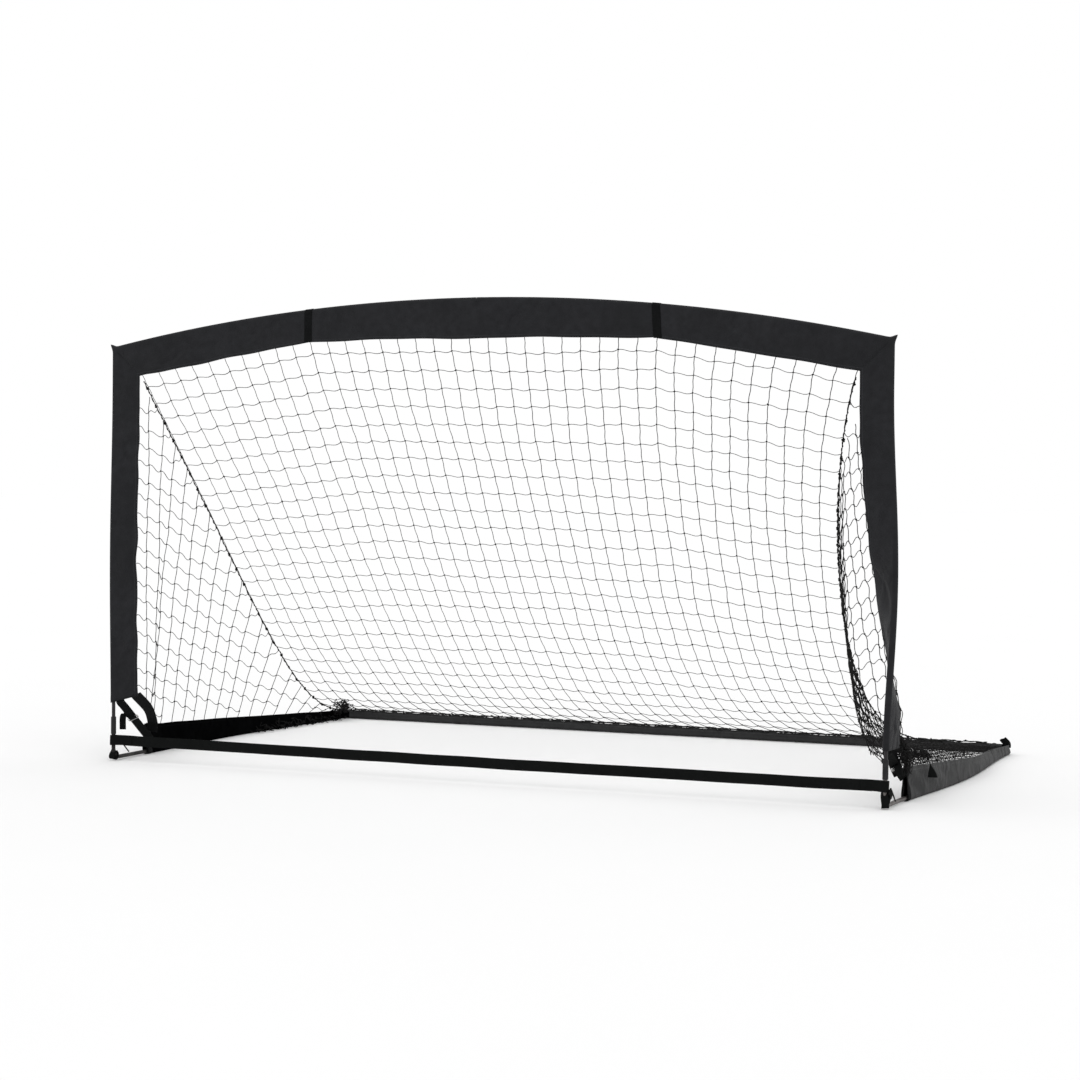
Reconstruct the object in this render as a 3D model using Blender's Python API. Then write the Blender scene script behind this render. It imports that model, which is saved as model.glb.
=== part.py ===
"""Pop-up football goal: two folding side frames, an arched crossbar, a rear ground bar, fabric sleeves and nets.

Metres, +Z up. The mouth of the goal faces -Y, the net runs back to +Y, and +X is the right side seen from
the mouth. The origin is on the ground under the middle of the object. The frame folds sideways: crossbar
and rear bar each fold in the middle, on upright pins, and bring the two side frames together.
"""

import math

import bmesh
import bpy
import numpy as np
from mathutils import Matrix

# Whole goal
HALF_WIDTH = 1.200
FRONT_Y = -0.7500
REAR_Y = 0.7500
CROWN_HEIGHT = 1.368
CROSSBAR_RISE = 0.127
BAND_X = 0.5405
SIDES = {"left": -1.0, "right": 1.0}

# Tubes and poles
POLE_RADIUS = 0.0055
RAIL_RADIUS = 0.0060
FERRULE_RADIUS = 0.0075
FERRULE_BORE = 0.0064
SOCKET_RADIUS = 0.0080
SOCKET_BORE = 0.0069
ELBOW_BORE_DEPTH = 0.030
GAP = 0.0004
UPRIGHT_BOW = {"left": 0.006, "right": 0.018}
RAIL_BOW = 0.035
FOOT_BEND = 0.028
CORNER_BEND = 0.030
RAIL_HEIGHT = 0.0085
STUB_TOP = 0.100
SOCKET_SPAN = (0.080, 0.132)
UPRIGHT_JOINT = 0.572
FERRULE_HALF = 0.033
ELBOW_START = 1.122

# Fold hinges
HINGE_X = 1.150
HINGE_OFFSET = 0.010
HINGE_BACK = 0.0065
EYE_RADIUS = 0.0055
TONGUE_HALF = 0.0021
EAR_SPAN = (0.0025, 0.0052)
PIN_RADIUS = 0.0016
PIN_HOLE = 0.0020
PIN_HEAD = (0.0032, 0.0010)
PIN_HALF = 0.0066
EYE_ROOT = 0.016

# Fabric
SLEEVE_RADIUS = 0.0092
SLEEVE_WALL = 0.0010
SLEEVE_EDGE = 0.0025
SLEEVE_BOTTOM = {"left": 0.192, "right": 0.156}
SLEEVE_TOP = 1.155
SLEEVE_REACH = 0.085
SLEEVE_TWIST = {"left": 0.0, "right": math.radians(58.0)}
TWIST_SPAN = 0.855
CORNER_RADIUS = 0.0098
CORNER_OUT = 0.0135
CORNER_LOW = 0.003
SLEEVE_GAP = 0.009
MIDDLE_GAP = 0.022
BAND_HALF = 0.0125
BAND_CLEAR = 0.0006
BAND_RADIUS = 0.0100
BASE_RADIUS = RAIL_HEIGHT / math.cos(math.radians(15.0))
BASE_FRONT = 0.190
BASE_FRONT_HEIGHT = 0.093
BASE_REAR_HEIGHT = 0.030
STRAP_WIDTH = 0.031
STRAP_THICK = 0.0018
STRAP_HEIGHT = 0.062
EDGE_BAND_WIDTH = 0.025
WEBBING_THICK = 0.0016
FACING = (0.39, -0.92, 0.0)
LOOP_RADIUS = (0.0138, 0.0120)
ADJUSTER_WIDTH = 0.020
ADJUSTER_DROP = 0.014
ADJUSTER_FOOT = 0.050
BUCKLE_PLACE = 0.42
BUCKLE_HALF = 0.0055
BUCKLE_RING = ((0.0300, 0.0075), (0.0215, 0.0032))
STAKE_LOOP = (0.0084, 0.0067)
STAKE_LOOP_ARC = (math.radians(18.0), math.radians(72.0))
STAKE_TAB = (0.024, 0.0030)
BAND_WALL = 0.0016
BAND_EDGE = 0.0035
ELASTIC_RADIUS = 0.0014

# Nets
NET_THICK = 0.003
NET_CLEAR = 0.004
NET_FOOT_HEIGHT = 0.036
NET_DEPTH = 1.481
SEAM_RADIUS = 0.0025
SEAM_BOW = 0.689
NET_TUCK = 0.020
NET_SLACK = {"left": 0.0, "right": 5.0}
SEAM_INSET = 0.092
SIDE_NET_INSET = 0.008
HEM_CLEAR = 0.014
PANEL_GAP = {"left": 0.009, "right": 0.018}


class Finish:
    """Colour, roughness and metallic value of one material."""

    def __init__(self, name, colour, roughness, metallic=0.0):
        self.material = bpy.data.materials.new(name)
        self.material.use_nodes = True
        shader = self.material.node_tree.nodes["Principled BSDF"]
        shader.inputs["Base Color"].default_value = (*colour, 1.0)
        shader.inputs["Roughness"].default_value = roughness
        shader.inputs["Metallic"].default_value = metallic


def clear_scene():
    for obj in list(bpy.data.objects):
        bpy.data.objects.remove(obj, do_unlink=True)


# ---------------------------------------------------------------- lines and curves of the goal


def crossbar_height(x):
    """Height of the crossbar pole's centreline: a shallow parabola."""
    return CROWN_HEIGHT - CROSSBAR_RISE * (x / HALF_WIDTH) ** 2


def crossbar_slope(x):
    return -2.0 * CROSSBAR_RISE * x / HALF_WIDTH**2


def crossbar_hem(x):
    """Height of the crossbar sleeve's lower edge: nearly level between the bands, sloping outside them."""
    x = abs(x)
    if x < BAND_X:
        return 1.262 - 0.005 * (x / BAND_X) ** 2
    return 1.257 - 0.166 * (x - BAND_X)


def bulge(value, low, high):
    """0 at both ends and 1 in the middle, with level ends."""
    t = min(max((value - low) / (high - low), 0.0), 1.0)
    return math.sin(math.pi * t) ** 2


def upright_x(side, z):
    return SIDES[side] * (HALF_WIDTH + UPRIGHT_BOW[side] * bulge(z, STUB_TOP, ELBOW_START))


def sleeve_twist(side, z):
    """Turn of an upright's sleeve about its pole: none at the top, and all of it at the foot."""
    t = min(max((SLEEVE_TOP - z) / TWIST_SPAN, 0.0), 1.0)
    return SLEEVE_TWIST[side] * t * t * (3.0 - 2.0 * t)


def rail_x(side, y):
    low = FRONT_Y + FOOT_BEND
    high = REAR_Y - CORNER_BEND
    return SIDES[side] * (HALF_WIDTH + RAIL_BOW * bulge(y, low, high))


def base_height(y):
    """Height of the base sleeve's upper edge: it tapers from the front to the rear corner."""
    t = (y - FRONT_Y - BASE_FRONT) / (REAR_Y - FRONT_Y - BASE_FRONT)
    t = min(max(t, 0.0), 1.0)
    return BASE_REAR_HEIGHT + (BASE_FRONT_HEIGHT - BASE_REAR_HEIGHT) * (1.0 - t) ** 1.1


def hinge_height():
    return crossbar_height(HINGE_X)


def net_fall(t):
    """Share of the net's height left at t, 0 at the crossbar and 1 at the rear bar: it sags towards the rear."""
    return (1.0 - t) ** (1.28 + 0.75 * t * t)


def net_y(t):
    return FRONT_Y + 0.004 + NET_DEPTH * t


def seam_point(side, t):
    """A point on the cord between the back net and a side net. The right one hangs slack and bows inwards."""
    x = HALF_WIDTH - SEAM_INSET + 0.065 * t
    if side == "right":
        x -= SEAM_BOW * t**0.9 * (1.0 - t) ** 0.44
    top = crossbar_hem(HALF_WIDTH - SEAM_INSET) - 0.008
    z = NET_FOOT_HEIGHT + (top - NET_FOOT_HEIGHT) * net_fall(t)
    return np.array([SIDES[side] * x, net_y(t), z])


def line(low, high, count):
    return [low + (high - low) * i / (count - 1) for i in range(count)]


# ---------------------------------------------------------------- building tools


def closed_mesh(name, vertices, faces):
    mesh = bpy.data.meshes.new(name)
    mesh.from_pydata([tuple(v) for v in vertices], [], faces)
    work = bmesh.new()
    work.from_mesh(mesh)
    bmesh.ops.remove_doubles(work, verts=work.verts, dist=1e-6)
    bmesh.ops.recalc_face_normals(work, faces=work.faces)
    work.to_mesh(mesh)
    work.free()
    obj = bpy.data.objects.new(name, mesh)
    bpy.context.scene.collection.objects.link(obj)
    return obj


def ring_faces(rows, count, start=0):
    """Quads between consecutive closed rings of count points."""
    faces = []
    for row in range(rows - 1):
        for i in range(count):
            a = start + row * count + i
            b = start + row * count + (i + 1) % count
            faces.append((a, b, b + count, a + count))
    return faces


def loft(name, rings):
    """A solid through closed rings, with a flat face at each end."""
    rows, count = len(rings), len(rings[0])
    faces = ring_faces(rows, count)
    faces.append(tuple(range(count)))
    faces.append(tuple((rows - 1) * count + i for i in range(count)))
    return closed_mesh(name, np.concatenate(rings), faces)


def shell(name, outer, inner):
    """An open-ended tube wall between outer rings and inner rings."""
    rows, count = len(outer), len(outer[0])
    total = rows * count
    faces = ring_faces(rows, count) + ring_faces(rows, count, total)
    for first in (0, total - count):
        for i in range(count):
            j = (i + 1) % count
            faces.append((first + i, first + j, total + first + j, total + first + i))
    return closed_mesh(name, np.concatenate([*outer, *inner]), faces)


def slab(name, near, far):
    """A thin closed sheet between two grids of points."""
    rows, columns = near.shape[:2]
    total = rows * columns
    faces = []
    for start in (0, total):
        for r in range(rows - 1):
            for c in range(columns - 1):
                a = start + r * columns + c
                faces.append((a, a + 1, a + columns + 1, a + columns))
    border = [c for c in range(columns)]
    border += [r * columns + columns - 1 for r in range(1, rows)]
    border += [(rows - 1) * columns + c for c in range(columns - 2, -1, -1)]
    border += [r * columns for r in range(rows - 2, 0, -1)]
    for i, a in enumerate(border):
        b = border[(i + 1) % len(border)]
        faces.append((a, b, total + b, total + a))
    return closed_mesh(name, np.concatenate([near.reshape(-1, 3), far.reshape(-1, 3)]), faces)


def rod(name, points, radius, rounds=3):
    """A round solid along a path, made from a bevelled curve with filled caps."""
    curve = bpy.data.curves.new(name + "_path", "CURVE")
    curve.dimensions = "3D"
    curve.bevel_depth = radius
    curve.bevel_resolution = rounds
    curve.use_fill_caps = True
    spline = curve.splines.new("POLY")
    spline.points.add(len(points) - 1)
    for point, place in zip(spline.points, points):
        point.co = (*place, 1.0)
    guide = bpy.data.objects.new(name + "_path", curve)
    bpy.context.scene.collection.objects.link(guide)
    bpy.context.view_layer.update()
    graph = bpy.context.evaluated_depsgraph_get()
    mesh = bpy.data.meshes.new_from_object(guide.evaluated_get(graph))
    vertices = [tuple(v.co) for v in mesh.vertices]
    faces = [tuple(p.vertices) for p in mesh.polygons]
    bpy.data.objects.remove(guide, do_unlink=True)
    bpy.data.meshes.remove(mesh)
    return closed_mesh(name, vertices, faces)


def circle(centre, across, up, radius, count=12):
    """Points of a circle; count is even, and its flats face across and up."""
    angles = [2.0 * math.pi * (i + 0.5) / count for i in range(count)]
    return np.array([centre + radius * (math.cos(a) * across + math.sin(a) * up) for a in angles])


def frames_along(points):
    """Unit tangent at each point of a path."""
    points = np.asarray(points, float)
    steps = np.gradient(points, axis=0)
    return steps / np.linalg.norm(steps, axis=1)[:, None]


def round_shell(name, points, outer, bore, reference):
    """An open round tube along a path. reference is any direction that the path never takes."""
    outer_rings = []
    inner_rings = []
    for place, along in zip(np.asarray(points, float), frames_along(points)):
        across = np.cross(along, reference)
        across /= np.linalg.norm(across)
        up = np.cross(across, along)
        outer_rings.append(circle(place, across, up, outer))
        inner_rings.append(circle(place, across, up, bore))
    return shell(name, outer_rings, inner_rings)


def drop_section(radius, reach, edge):
    """Flat sleeve seen along its pole: round at the pole with a flat back, tapering to a blunt edge at reach."""
    half = (radius + edge) / 2.0
    angles = [math.radians(a) for a in (90, *range(105, 256, 30), 270)]
    points = [(radius * math.cos(a), radius * math.sin(a)) for a in angles]
    points += [(reach / 2.0, -half), (reach, -edge), (reach, edge), (reach / 2.0, half)]
    return points


def fabric_sleeve(name, places, ways, normals, reaches, radius=SLEEVE_RADIUS, wall=SLEEVE_WALL, edge=SLEEVE_EDGE):
    """A flat sleeve around a pole. At each place it reaches out along its way, and is thick along its normal."""
    rings = ([], [])
    for place, way, normal, reach in zip(places, ways, normals, reaches):
        for k, cut in enumerate((0.0, wall)):
            section = drop_section(radius - cut, reach - cut, edge - cut)
            rings[k].append(np.array([place + a * way + b * normal for a, b in section]))
    return shell(name, *rings)


def eye_plate(name, axis_xy, root_xy, low, high):
    """A level plate with a round end on a hinge axis and a square root inside the pole."""
    axis_xy = np.array(axis_xy)
    way = np.array(root_xy) - axis_xy
    across = np.array([-way[1], way[0]]) / np.linalg.norm(way)
    turn = math.atan2(across[1], across[0])
    outline = [axis_xy + EYE_RADIUS * np.array([math.cos(turn + a), math.sin(turn + a)])
               for a in line(0.0, math.pi, 9)]
    outline += [np.array(root_xy) - EYE_RADIUS * 0.75 * across, np.array(root_xy) + EYE_RADIUS * 0.75 * across]
    return loft(name, [np.array([(*p, z) for p in outline]) for z in (low, high)])


def pin_solid(name, x, y, z, radius, half, head=None):
    """An upright pin turned on its axis; a head is a radius and a height."""
    profile = [(radius, -half), (radius, half)]
    if head:
        profile += [(head[0], half), (head[0], half + head[1])]
    across = np.array([1.0, 0.0, 0.0])
    up = np.array([0.0, 1.0, 0.0])
    rings = [circle(np.array([x, y, z + height]), across, up, r) for r, height in profile]
    return loft(name, rings)


def combine(target, tool, operation):
    """Applies an exact Boolean to target and removes the tool."""
    step = target.modifiers.new(operation.lower(), "BOOLEAN")
    step.operation = operation
    step.object = tool
    step.solver = "EXACT"
    bpy.context.view_layer.update()
    graph = bpy.context.evaluated_depsgraph_get()
    mesh = bpy.data.meshes.new_from_object(target.evaluated_get(graph))
    target.modifiers.clear()
    target.data = mesh
    bpy.data.objects.remove(tool, do_unlink=True)
    return target


def add_eye(pole, axis_xy, root_xy, height, forked):
    """Joins a hinge's fork or tongue to a pole's end, and drills it for the pin."""
    if forked:
        spans = [(height + EAR_SPAN[0], height + EAR_SPAN[1]), (height - EAR_SPAN[1], height - EAR_SPAN[0])]
    else:
        spans = [(height - TONGUE_HALF, height + TONGUE_HALF)]
    for low, high in spans:
        combine(pole, eye_plate("plate", axis_xy, root_xy, low, high), "UNION")
    drill = pin_solid("drill", *axis_xy, height, PIN_HOLE, PIN_HALF * 2.0)
    return combine(pole, drill, "DIFFERENCE")


def finish_piece(obj, finish, pivot=None, smooth=True):
    """Gives a piece its material, and hangs it on the empty that marks its hinge."""
    obj.data.materials.clear()
    obj.data.materials.append(finish.material)
    if smooth:
        obj.data.shade_smooth()
        obj.data.set_sharp_from_angle(angle=math.radians(35.0))
    if pivot is not None:
        obj.data.transform(Matrix.Translation(-pivot.location))
        obj.parent = pivot


def pivot_empty(name, place):
    empty = bpy.data.objects.new(name, None)
    empty.location = place
    bpy.context.scene.collection.objects.link(empty)
    return empty


# ---------------------------------------------------------------- side frames


def rail_path(side):
    """Upright stub, foot bend, ground rail, rear corner bend and the short arm to the rear hinge."""
    sign = SIDES[side]
    points = [(sign * HALF_WIDTH, FRONT_Y, STUB_TOP)]
    for a in line(0.0, math.pi / 2.0, 6):
        y = FRONT_Y + FOOT_BEND * (1.0 - math.cos(a))
        z = RAIL_HEIGHT + FOOT_BEND * (1.0 - math.sin(a))
        points.append((sign * HALF_WIDTH, y, z))
    for y in line(FRONT_Y + FOOT_BEND, REAR_Y - CORNER_BEND, 14)[1:]:
        points.append((rail_x(side, y), y, RAIL_HEIGHT))
    for a in line(0.0, math.pi / 2.0, 6)[1:]:
        x = HALF_WIDTH - CORNER_BEND * (1.0 - math.cos(a))
        y = REAR_Y - CORNER_BEND * (1.0 - math.sin(a))
        points.append((sign * x, y, RAIL_HEIGHT))
    points.append((sign * (HINGE_X + HINGE_BACK), REAR_Y, RAIL_HEIGHT))
    return points


def upright_points(side, low, high, count):
    return [(upright_x(side, z), FRONT_Y, z) for z in line(low, high, count)]


def make_side_tubes(side, steel, plastic, pivot):
    sign = SIDES[side]
    rail = rod(f"side_rail_{side}", rail_path(side), RAIL_RADIUS)
    rear_eye = (sign * HINGE_X, REAR_Y)
    add_eye(rail, rear_eye, (sign * (HINGE_X + EYE_ROOT), REAR_Y), RAIL_HEIGHT, True)
    finish_piece(rail, steel, pivot)

    upright_way = np.array([0.0, 1.0, 0.0])
    socket = round_shell(f"foot_socket_{side}", upright_points(side, *SOCKET_SPAN, 2),
                         SOCKET_RADIUS, SOCKET_BORE, upright_way)
    finish_piece(socket, plastic, pivot)
    lower = rod(f"upright_pole_lower_{side}",
                upright_points(side, STUB_TOP + GAP, UPRIGHT_JOINT, 6), POLE_RADIUS)
    finish_piece(lower, plastic, pivot)
    ferrule = round_shell(f"upright_ferrule_{side}",
                          upright_points(side, UPRIGHT_JOINT - FERRULE_HALF, UPRIGHT_JOINT + FERRULE_HALF, 3),
                          FERRULE_RADIUS, FERRULE_BORE, upright_way)
    finish_piece(ferrule, steel, pivot)
    pole_top = ELBOW_START + ELBOW_BORE_DEPTH - GAP
    upper = rod(f"upright_pole_upper_{side}",
                upright_points(side, UPRIGHT_JOINT + GAP, pole_top, 6), POLE_RADIUS)
    finish_piece(upper, plastic, pivot)


def make_elbow(side, plastic, pivot):
    """Top corner fitting: a bored foot over the upright, a bend, and the fork of the crossbar's fold hinge."""
    sign = SIDES[side]
    slope = -crossbar_slope(HALF_WIDTH)
    rise = math.atan(slope)
    turn = math.pi / 2.0 - rise
    corner_z = crossbar_height(HALF_WIDTH)
    start_z = corner_z - CORNER_BEND * math.tan(turn / 2.0)
    points = [(sign * HALF_WIDTH, FRONT_Y, ELBOW_START), (sign * HALF_WIDTH, FRONT_Y, start_z - 0.02)]
    for a in line(0.0, turn, 6):
        x = HALF_WIDTH - CORNER_BEND * (1.0 - math.cos(a))
        points.append((sign * x, FRONT_Y, start_z + CORNER_BEND * math.sin(a)))
    end_x = HINGE_X + HINGE_BACK
    points.append((sign * end_x, FRONT_Y, corner_z + slope * (HALF_WIDTH - end_x)))
    elbow = rod(f"corner_elbow_{side}", points, FERRULE_RADIUS)
    bore_z = ELBOW_START + ELBOW_BORE_DEPTH / 2.0
    bore = pin_solid("bore", sign * HALF_WIDTH, FRONT_Y, bore_z - 0.005, FERRULE_BORE,
                     ELBOW_BORE_DEPTH / 2.0 + 0.005)
    combine(elbow, bore, "DIFFERENCE")
    axis_xy = (sign * HINGE_X, FRONT_Y)
    add_eye(elbow, axis_xy, (sign * (HINGE_X + EYE_ROOT), FRONT_Y), hinge_height(), True)
    finish_piece(elbow, plastic, pivot)
    pin = pin_solid(f"top_hinge_pin_{side}", *axis_xy, hinge_height(), PIN_RADIUS, PIN_HALF, PIN_HEAD)
    return pin


def make_upright_sleeve(side, fabric, pivot):
    """Sleeve flat across the mouth at the top; the right one turns towards the rear at its foot."""
    sign = SIDES[side]
    places, ways, normals, reaches = [], [], [], []
    for z in line(SLEEVE_BOTTOM[side], SLEEVE_TOP, 13):
        twist = sleeve_twist(side, z)
        places.append(np.array([upright_x(side, z), FRONT_Y, z]))
        ways.append(np.array([-sign * math.cos(twist), math.sin(twist), 0.0]))
        normals.append(np.array([sign * math.sin(twist), math.cos(twist), 0.0]))
        reaches.append(SLEEVE_REACH)
    sleeve = fabric_sleeve(f"upright_sleeve_{side}", places, ways, normals, reaches)
    finish_piece(sleeve, fabric, pivot)


def make_corner_sleeve(side, fabric, pivot):
    """Fabric corner over the elbow: a flat pocket, open below and towards the crossbar."""
    sign = SIDES[side]
    low = SLEEVE_TOP + CORNER_LOW
    inner_x = HINGE_X + SLEEVE_GAP
    outer_x = HALF_WIDTH + CORNER_OUT
    top_inner = crossbar_height(inner_x) + CORNER_RADIUS + 0.001
    top_outer = crossbar_height(HALF_WIDTH) + CORNER_RADIUS
    profile = [(inner_x, top_inner), (HALF_WIDTH - 0.006, top_outer), (outer_x, top_outer - 0.009), (outer_x, low)]
    wall = SLEEVE_WALL
    inset = [(inner_x, top_inner - wall), (HALF_WIDTH - 0.0064, top_outer - wall),
             (outer_x - wall, top_outer - 0.0094), (outer_x - wall, low)]
    depth = CORNER_RADIUS
    vertices = []
    for outline, half in ((profile, depth), (inset, depth - wall)):
        for y in (FRONT_Y - half, FRONT_Y + half):
            vertices += [(sign * x, y, z) for x, z in outline]
            vertices.append((sign * inner_x, y, low))
    faces = []
    for start in (0, 10):
        faces += [(start + 0, start + 1, start + 2, start + 3, start + 4)]
        faces += [(start + 5, start + 6, start + 7, start + 8, start + 9)]
        faces += [(start + i, start + i + 1, start + i + 6, start + i + 5) for i in range(3)]
    rim = [(3, 4), (4, 0), (0, 5), (5, 9), (9, 8), (8, 3)]
    faces += [(a, b, b + 10, a + 10) for a, b in rim]
    sleeve = closed_mesh(f"corner_sleeve_{side}", vertices, faces)
    finish_piece(sleeve, fabric, pivot, smooth=False)


def make_base_sleeve(side, fabric, pivot):
    """Tapered sleeve over the ground rail and round the rear corner."""
    sign = SIDES[side]
    route = []
    for y in line(FRONT_Y + BASE_FRONT, REAR_Y - CORNER_BEND, 11):
        route.append((rail_x(side, y), y, RAIL_HEIGHT))
    for a in line(0.0, math.pi / 2.0, 5)[1:]:
        x = HALF_WIDTH - CORNER_BEND * (1.0 - math.cos(a))
        route.append((sign * x, REAR_Y - CORNER_BEND * (1.0 - math.sin(a)), RAIL_HEIGHT))
    route.append((sign * (HINGE_X + SLEEVE_GAP), REAR_Y, RAIL_HEIGHT))
    route = np.array(route)
    tangents = frames_along(route)
    up = np.array([0.0, 0.0, 1.0])
    normals = [np.cross(up, along) for along in tangents]
    reaches = [base_height(place[1]) - RAIL_HEIGHT for place in route]
    sleeve = fabric_sleeve(f"base_sleeve_{side}", route, [up] * len(route), normals, reaches, radius=BASE_RADIUS)
    finish_piece(sleeve, fabric, pivot)


def flat_strip(name, points, wide, thick, flat):
    """A webbing strip along a path. flat is the direction across its thickness."""
    rings = []
    flat = np.asarray(flat, float)
    for place, along in zip(np.asarray(points, float), frames_along(points)):
        across = np.cross(flat, along)
        across /= np.linalg.norm(across)
        face = np.cross(along, across)
        corners = [(-0.5, -0.5), (0.5, -0.5), (0.5, 0.5), (-0.5, 0.5)]
        rings.append(np.array([place + a * wide * across + b * thick * face for a, b in corners]))
    return loft(name, rings)


def bend_through(first, middle, last, count):
    """Points of a quadratic curve."""
    first, middle, last = (np.array(p, float) for p in (first, middle, last))
    return [(1 - t) ** 2 * first + 2 * t * (1 - t) * middle + t * t * last for t in line(0.0, 1.0, count)]


def adjuster_line(side):
    """Both ends of the tension strap between the upright's foot and the base sleeve."""
    sign = SIDES[side]
    high = np.array([sign * (HALF_WIDTH - 0.020), FRONT_Y + 0.006, SLEEVE_BOTTOM[side] - ADJUSTER_DROP])
    low = np.array([sign * (HALF_WIDTH - 0.014), FRONT_Y + BASE_FRONT - 0.008, ADJUSTER_FOOT])
    return high, low


def buckle_centre(side):
    high, low = adjuster_line(side)
    return high + BUCKLE_PLACE * (low - high)


def edge_band_path(side):
    """Centreline of the curved webbing from the inner foot of the upright sleeve to the front of the base sleeve."""
    sign = SIDES[side]
    foot = SLEEVE_BOTTOM[side]
    twist = sleeve_twist(side, foot)
    reach = SLEEVE_REACH - 0.005
    first = (sign * (HALF_WIDTH - reach * math.cos(twist)), FRONT_Y + reach * math.sin(twist) + 0.008, foot - 0.015)
    last = (sign * (HALF_WIDTH - 0.020), FRONT_Y + BASE_FRONT - 0.007, 0.100)
    middle = (0.75 * first[0] + 0.25 * last[0], 0.5 * (first[1] + last[1]), 0.5 * (first[2] + last[2]) + 0.004)
    return np.array(bend_through(first, middle, last, 9))


def make_side_webbing(side, webbing, elastic, pivot):
    sign = SIDES[side]
    band = flat_strip(f"edge_band_{side}", edge_band_path(side), EDGE_BAND_WIDTH, WEBBING_THICK, FACING)
    finish_piece(band, webbing, pivot)

    strap = flat_strip(f"adjuster_strap_{side}", adjuster_line(side), ADJUSTER_WIDTH, WEBBING_THICK, FACING)
    finish_piece(strap, webbing, pivot)

    arc = []
    for a in line(*STAKE_LOOP_ARC, 5):
        y = FRONT_Y + FOOT_BEND * (1.0 - math.cos(a))
        arc.append((sign * HALF_WIDTH, y, RAIL_HEIGHT + FOOT_BEND * (1.0 - math.sin(a))))
    loop = round_shell(f"stake_loop_front_{side}", arc, *STAKE_LOOP, np.array([1.0, 0.0, 0.0]))
    finish_piece(loop, webbing, pivot)

    tab_x = sign * (HALF_WIDTH - 0.004)
    tab = flat_strip(f"stake_loop_rear_{side}",
                     bend_through((tab_x, REAR_Y - 0.018, 0.034), (tab_x, REAR_Y - 0.020, 0.052),
                                  (tab_x - sign * 0.012, REAR_Y - 0.040, 0.066), 5),
                     *STAKE_TAB, (0.0, 1.0, 0.3))
    finish_piece(tab, webbing, pivot)

    cord = rod(f"elastic_cord_{side}",
               bend_through((sign * (HALF_WIDTH + 0.012), FRONT_Y + 0.018, 0.044),
                            (sign * (HALF_WIDTH + 0.012), FRONT_Y + 0.030, 0.030),
                            (sign * (HALF_WIDTH + 0.004), FRONT_Y + 0.052, 0.0175), 6), ELASTIC_RADIUS, 1)
    finish_piece(cord, elastic, pivot)


def make_buckle(side, steel, pivot):
    """Slider round the tension strap; it moves along it."""
    high, low = adjuster_line(side)
    along = (low - high) / np.linalg.norm(low - high)
    across = np.cross(np.array(FACING), along)
    across /= np.linalg.norm(across)
    face = np.cross(along, across)
    centre = buckle_centre(side)
    rings = ([], [])
    for step in (-BUCKLE_HALF, BUCKLE_HALF):
        for k, (wide, thick) in enumerate(BUCKLE_RING):
            corners = [(-0.5, -0.5), (0.5, -0.5), (0.5, 0.5), (-0.5, 0.5)]
            ring = [centre + step * along + a * wide * across + b * thick * face for a, b in corners]
            rings[k].append(np.array(ring))
    buckle = shell(f"adjuster_buckle_{side}", *rings)
    finish_piece(buckle, steel, pivot, smooth=False)


def net_hem(side, y):
    """Lower edge of a side net at depth y: along the curved webbing, then along the top of the base sleeve."""
    band = edge_band_path(side)
    along = frames_along(band)
    if y <= band[-1][1]:
        place = [np.interp(y, band[:, 1], band[:, k]) for k in range(3)]
        steep = np.interp(y, band[:, 1], 1.0 / np.maximum(along[:, 1], 0.3))
        return abs(place[0]), place[2] + EDGE_BAND_WIDTH / 2.0 * steep + NET_CLEAR
    share = min((y - band[-1][1]) / 0.10, 1.0)
    start = band[-1][2] + EDGE_BAND_WIDTH
    height = start * (1.0 - share) + (base_height(y) + HEM_CLEAR) * share
    return abs(band[-1][0]) * (1.0 - share) + (abs(rail_x(side, y)) - 0.004) * share, height


def make_side_net(side, net, cord, pivot):
    """Side panel between the upright sleeve, the seam cord and the base sleeve, and the seam cord itself.

    The slack panel falls steeply from its seam and runs out low to its hem: its height is a power of its breadth.
    """
    sign = SIDES[side]
    rows = []
    for t in (0.0, 0.03, 0.06, 0.10, 0.13, 0.16, 0.20, 0.26, 0.34, 0.43, 0.54, 0.66, 0.77, 0.84, 0.88):
        top = seam_point(side, t) + np.array([sign * SIDE_NET_INSET, 0.0, -NET_CLEAR])
        y = max(top[1], FRONT_Y + 0.018)
        low_x, low_z = net_hem(side, y)
        low = np.array([sign * low_x, y, min(low_z, top[2] - 0.012)])
        behind = min(max((y - FRONT_Y - 0.08) / 0.25, 0.0), 1.0)
        power = 1.0 / (1.0 + NET_SLACK[side] * behind * behind * (3.0 - 2.0 * behind))
        tuck = NET_TUCK * min(max(1.0 - (y - FRONT_Y) / 0.30, 0.0), 1.0) if side == "right" else 0.0
        row = []
        for v in (0.0, 0.03, 0.12, 0.32, 0.64, 0.98):
            x = low[0] + (top[0] - low[0]) * v**power
            z = low[2] + (top[2] - low[2]) * v
            row.append((x - tuck * max(1.0 - z / SLEEVE_TOP, 0.0) ** 0.5, y, z))
        rows.append(row)
    grid = np.array(rows)
    half = np.array([sign * NET_THICK / 2.0, 0.0, NET_THICK / 2.0])
    panel = slab(f"side_net_{side}", grid - half, grid + half)
    finish_piece(panel, net, pivot)

    seam = rod(f"seam_cord_{side}", [seam_point(side, t) for t in line(0.012, 0.955, 15)], SEAM_RADIUS, 1)
    finish_piece(seam, cord, pivot)


# ---------------------------------------------------------------- crossbar and rear bar


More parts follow.
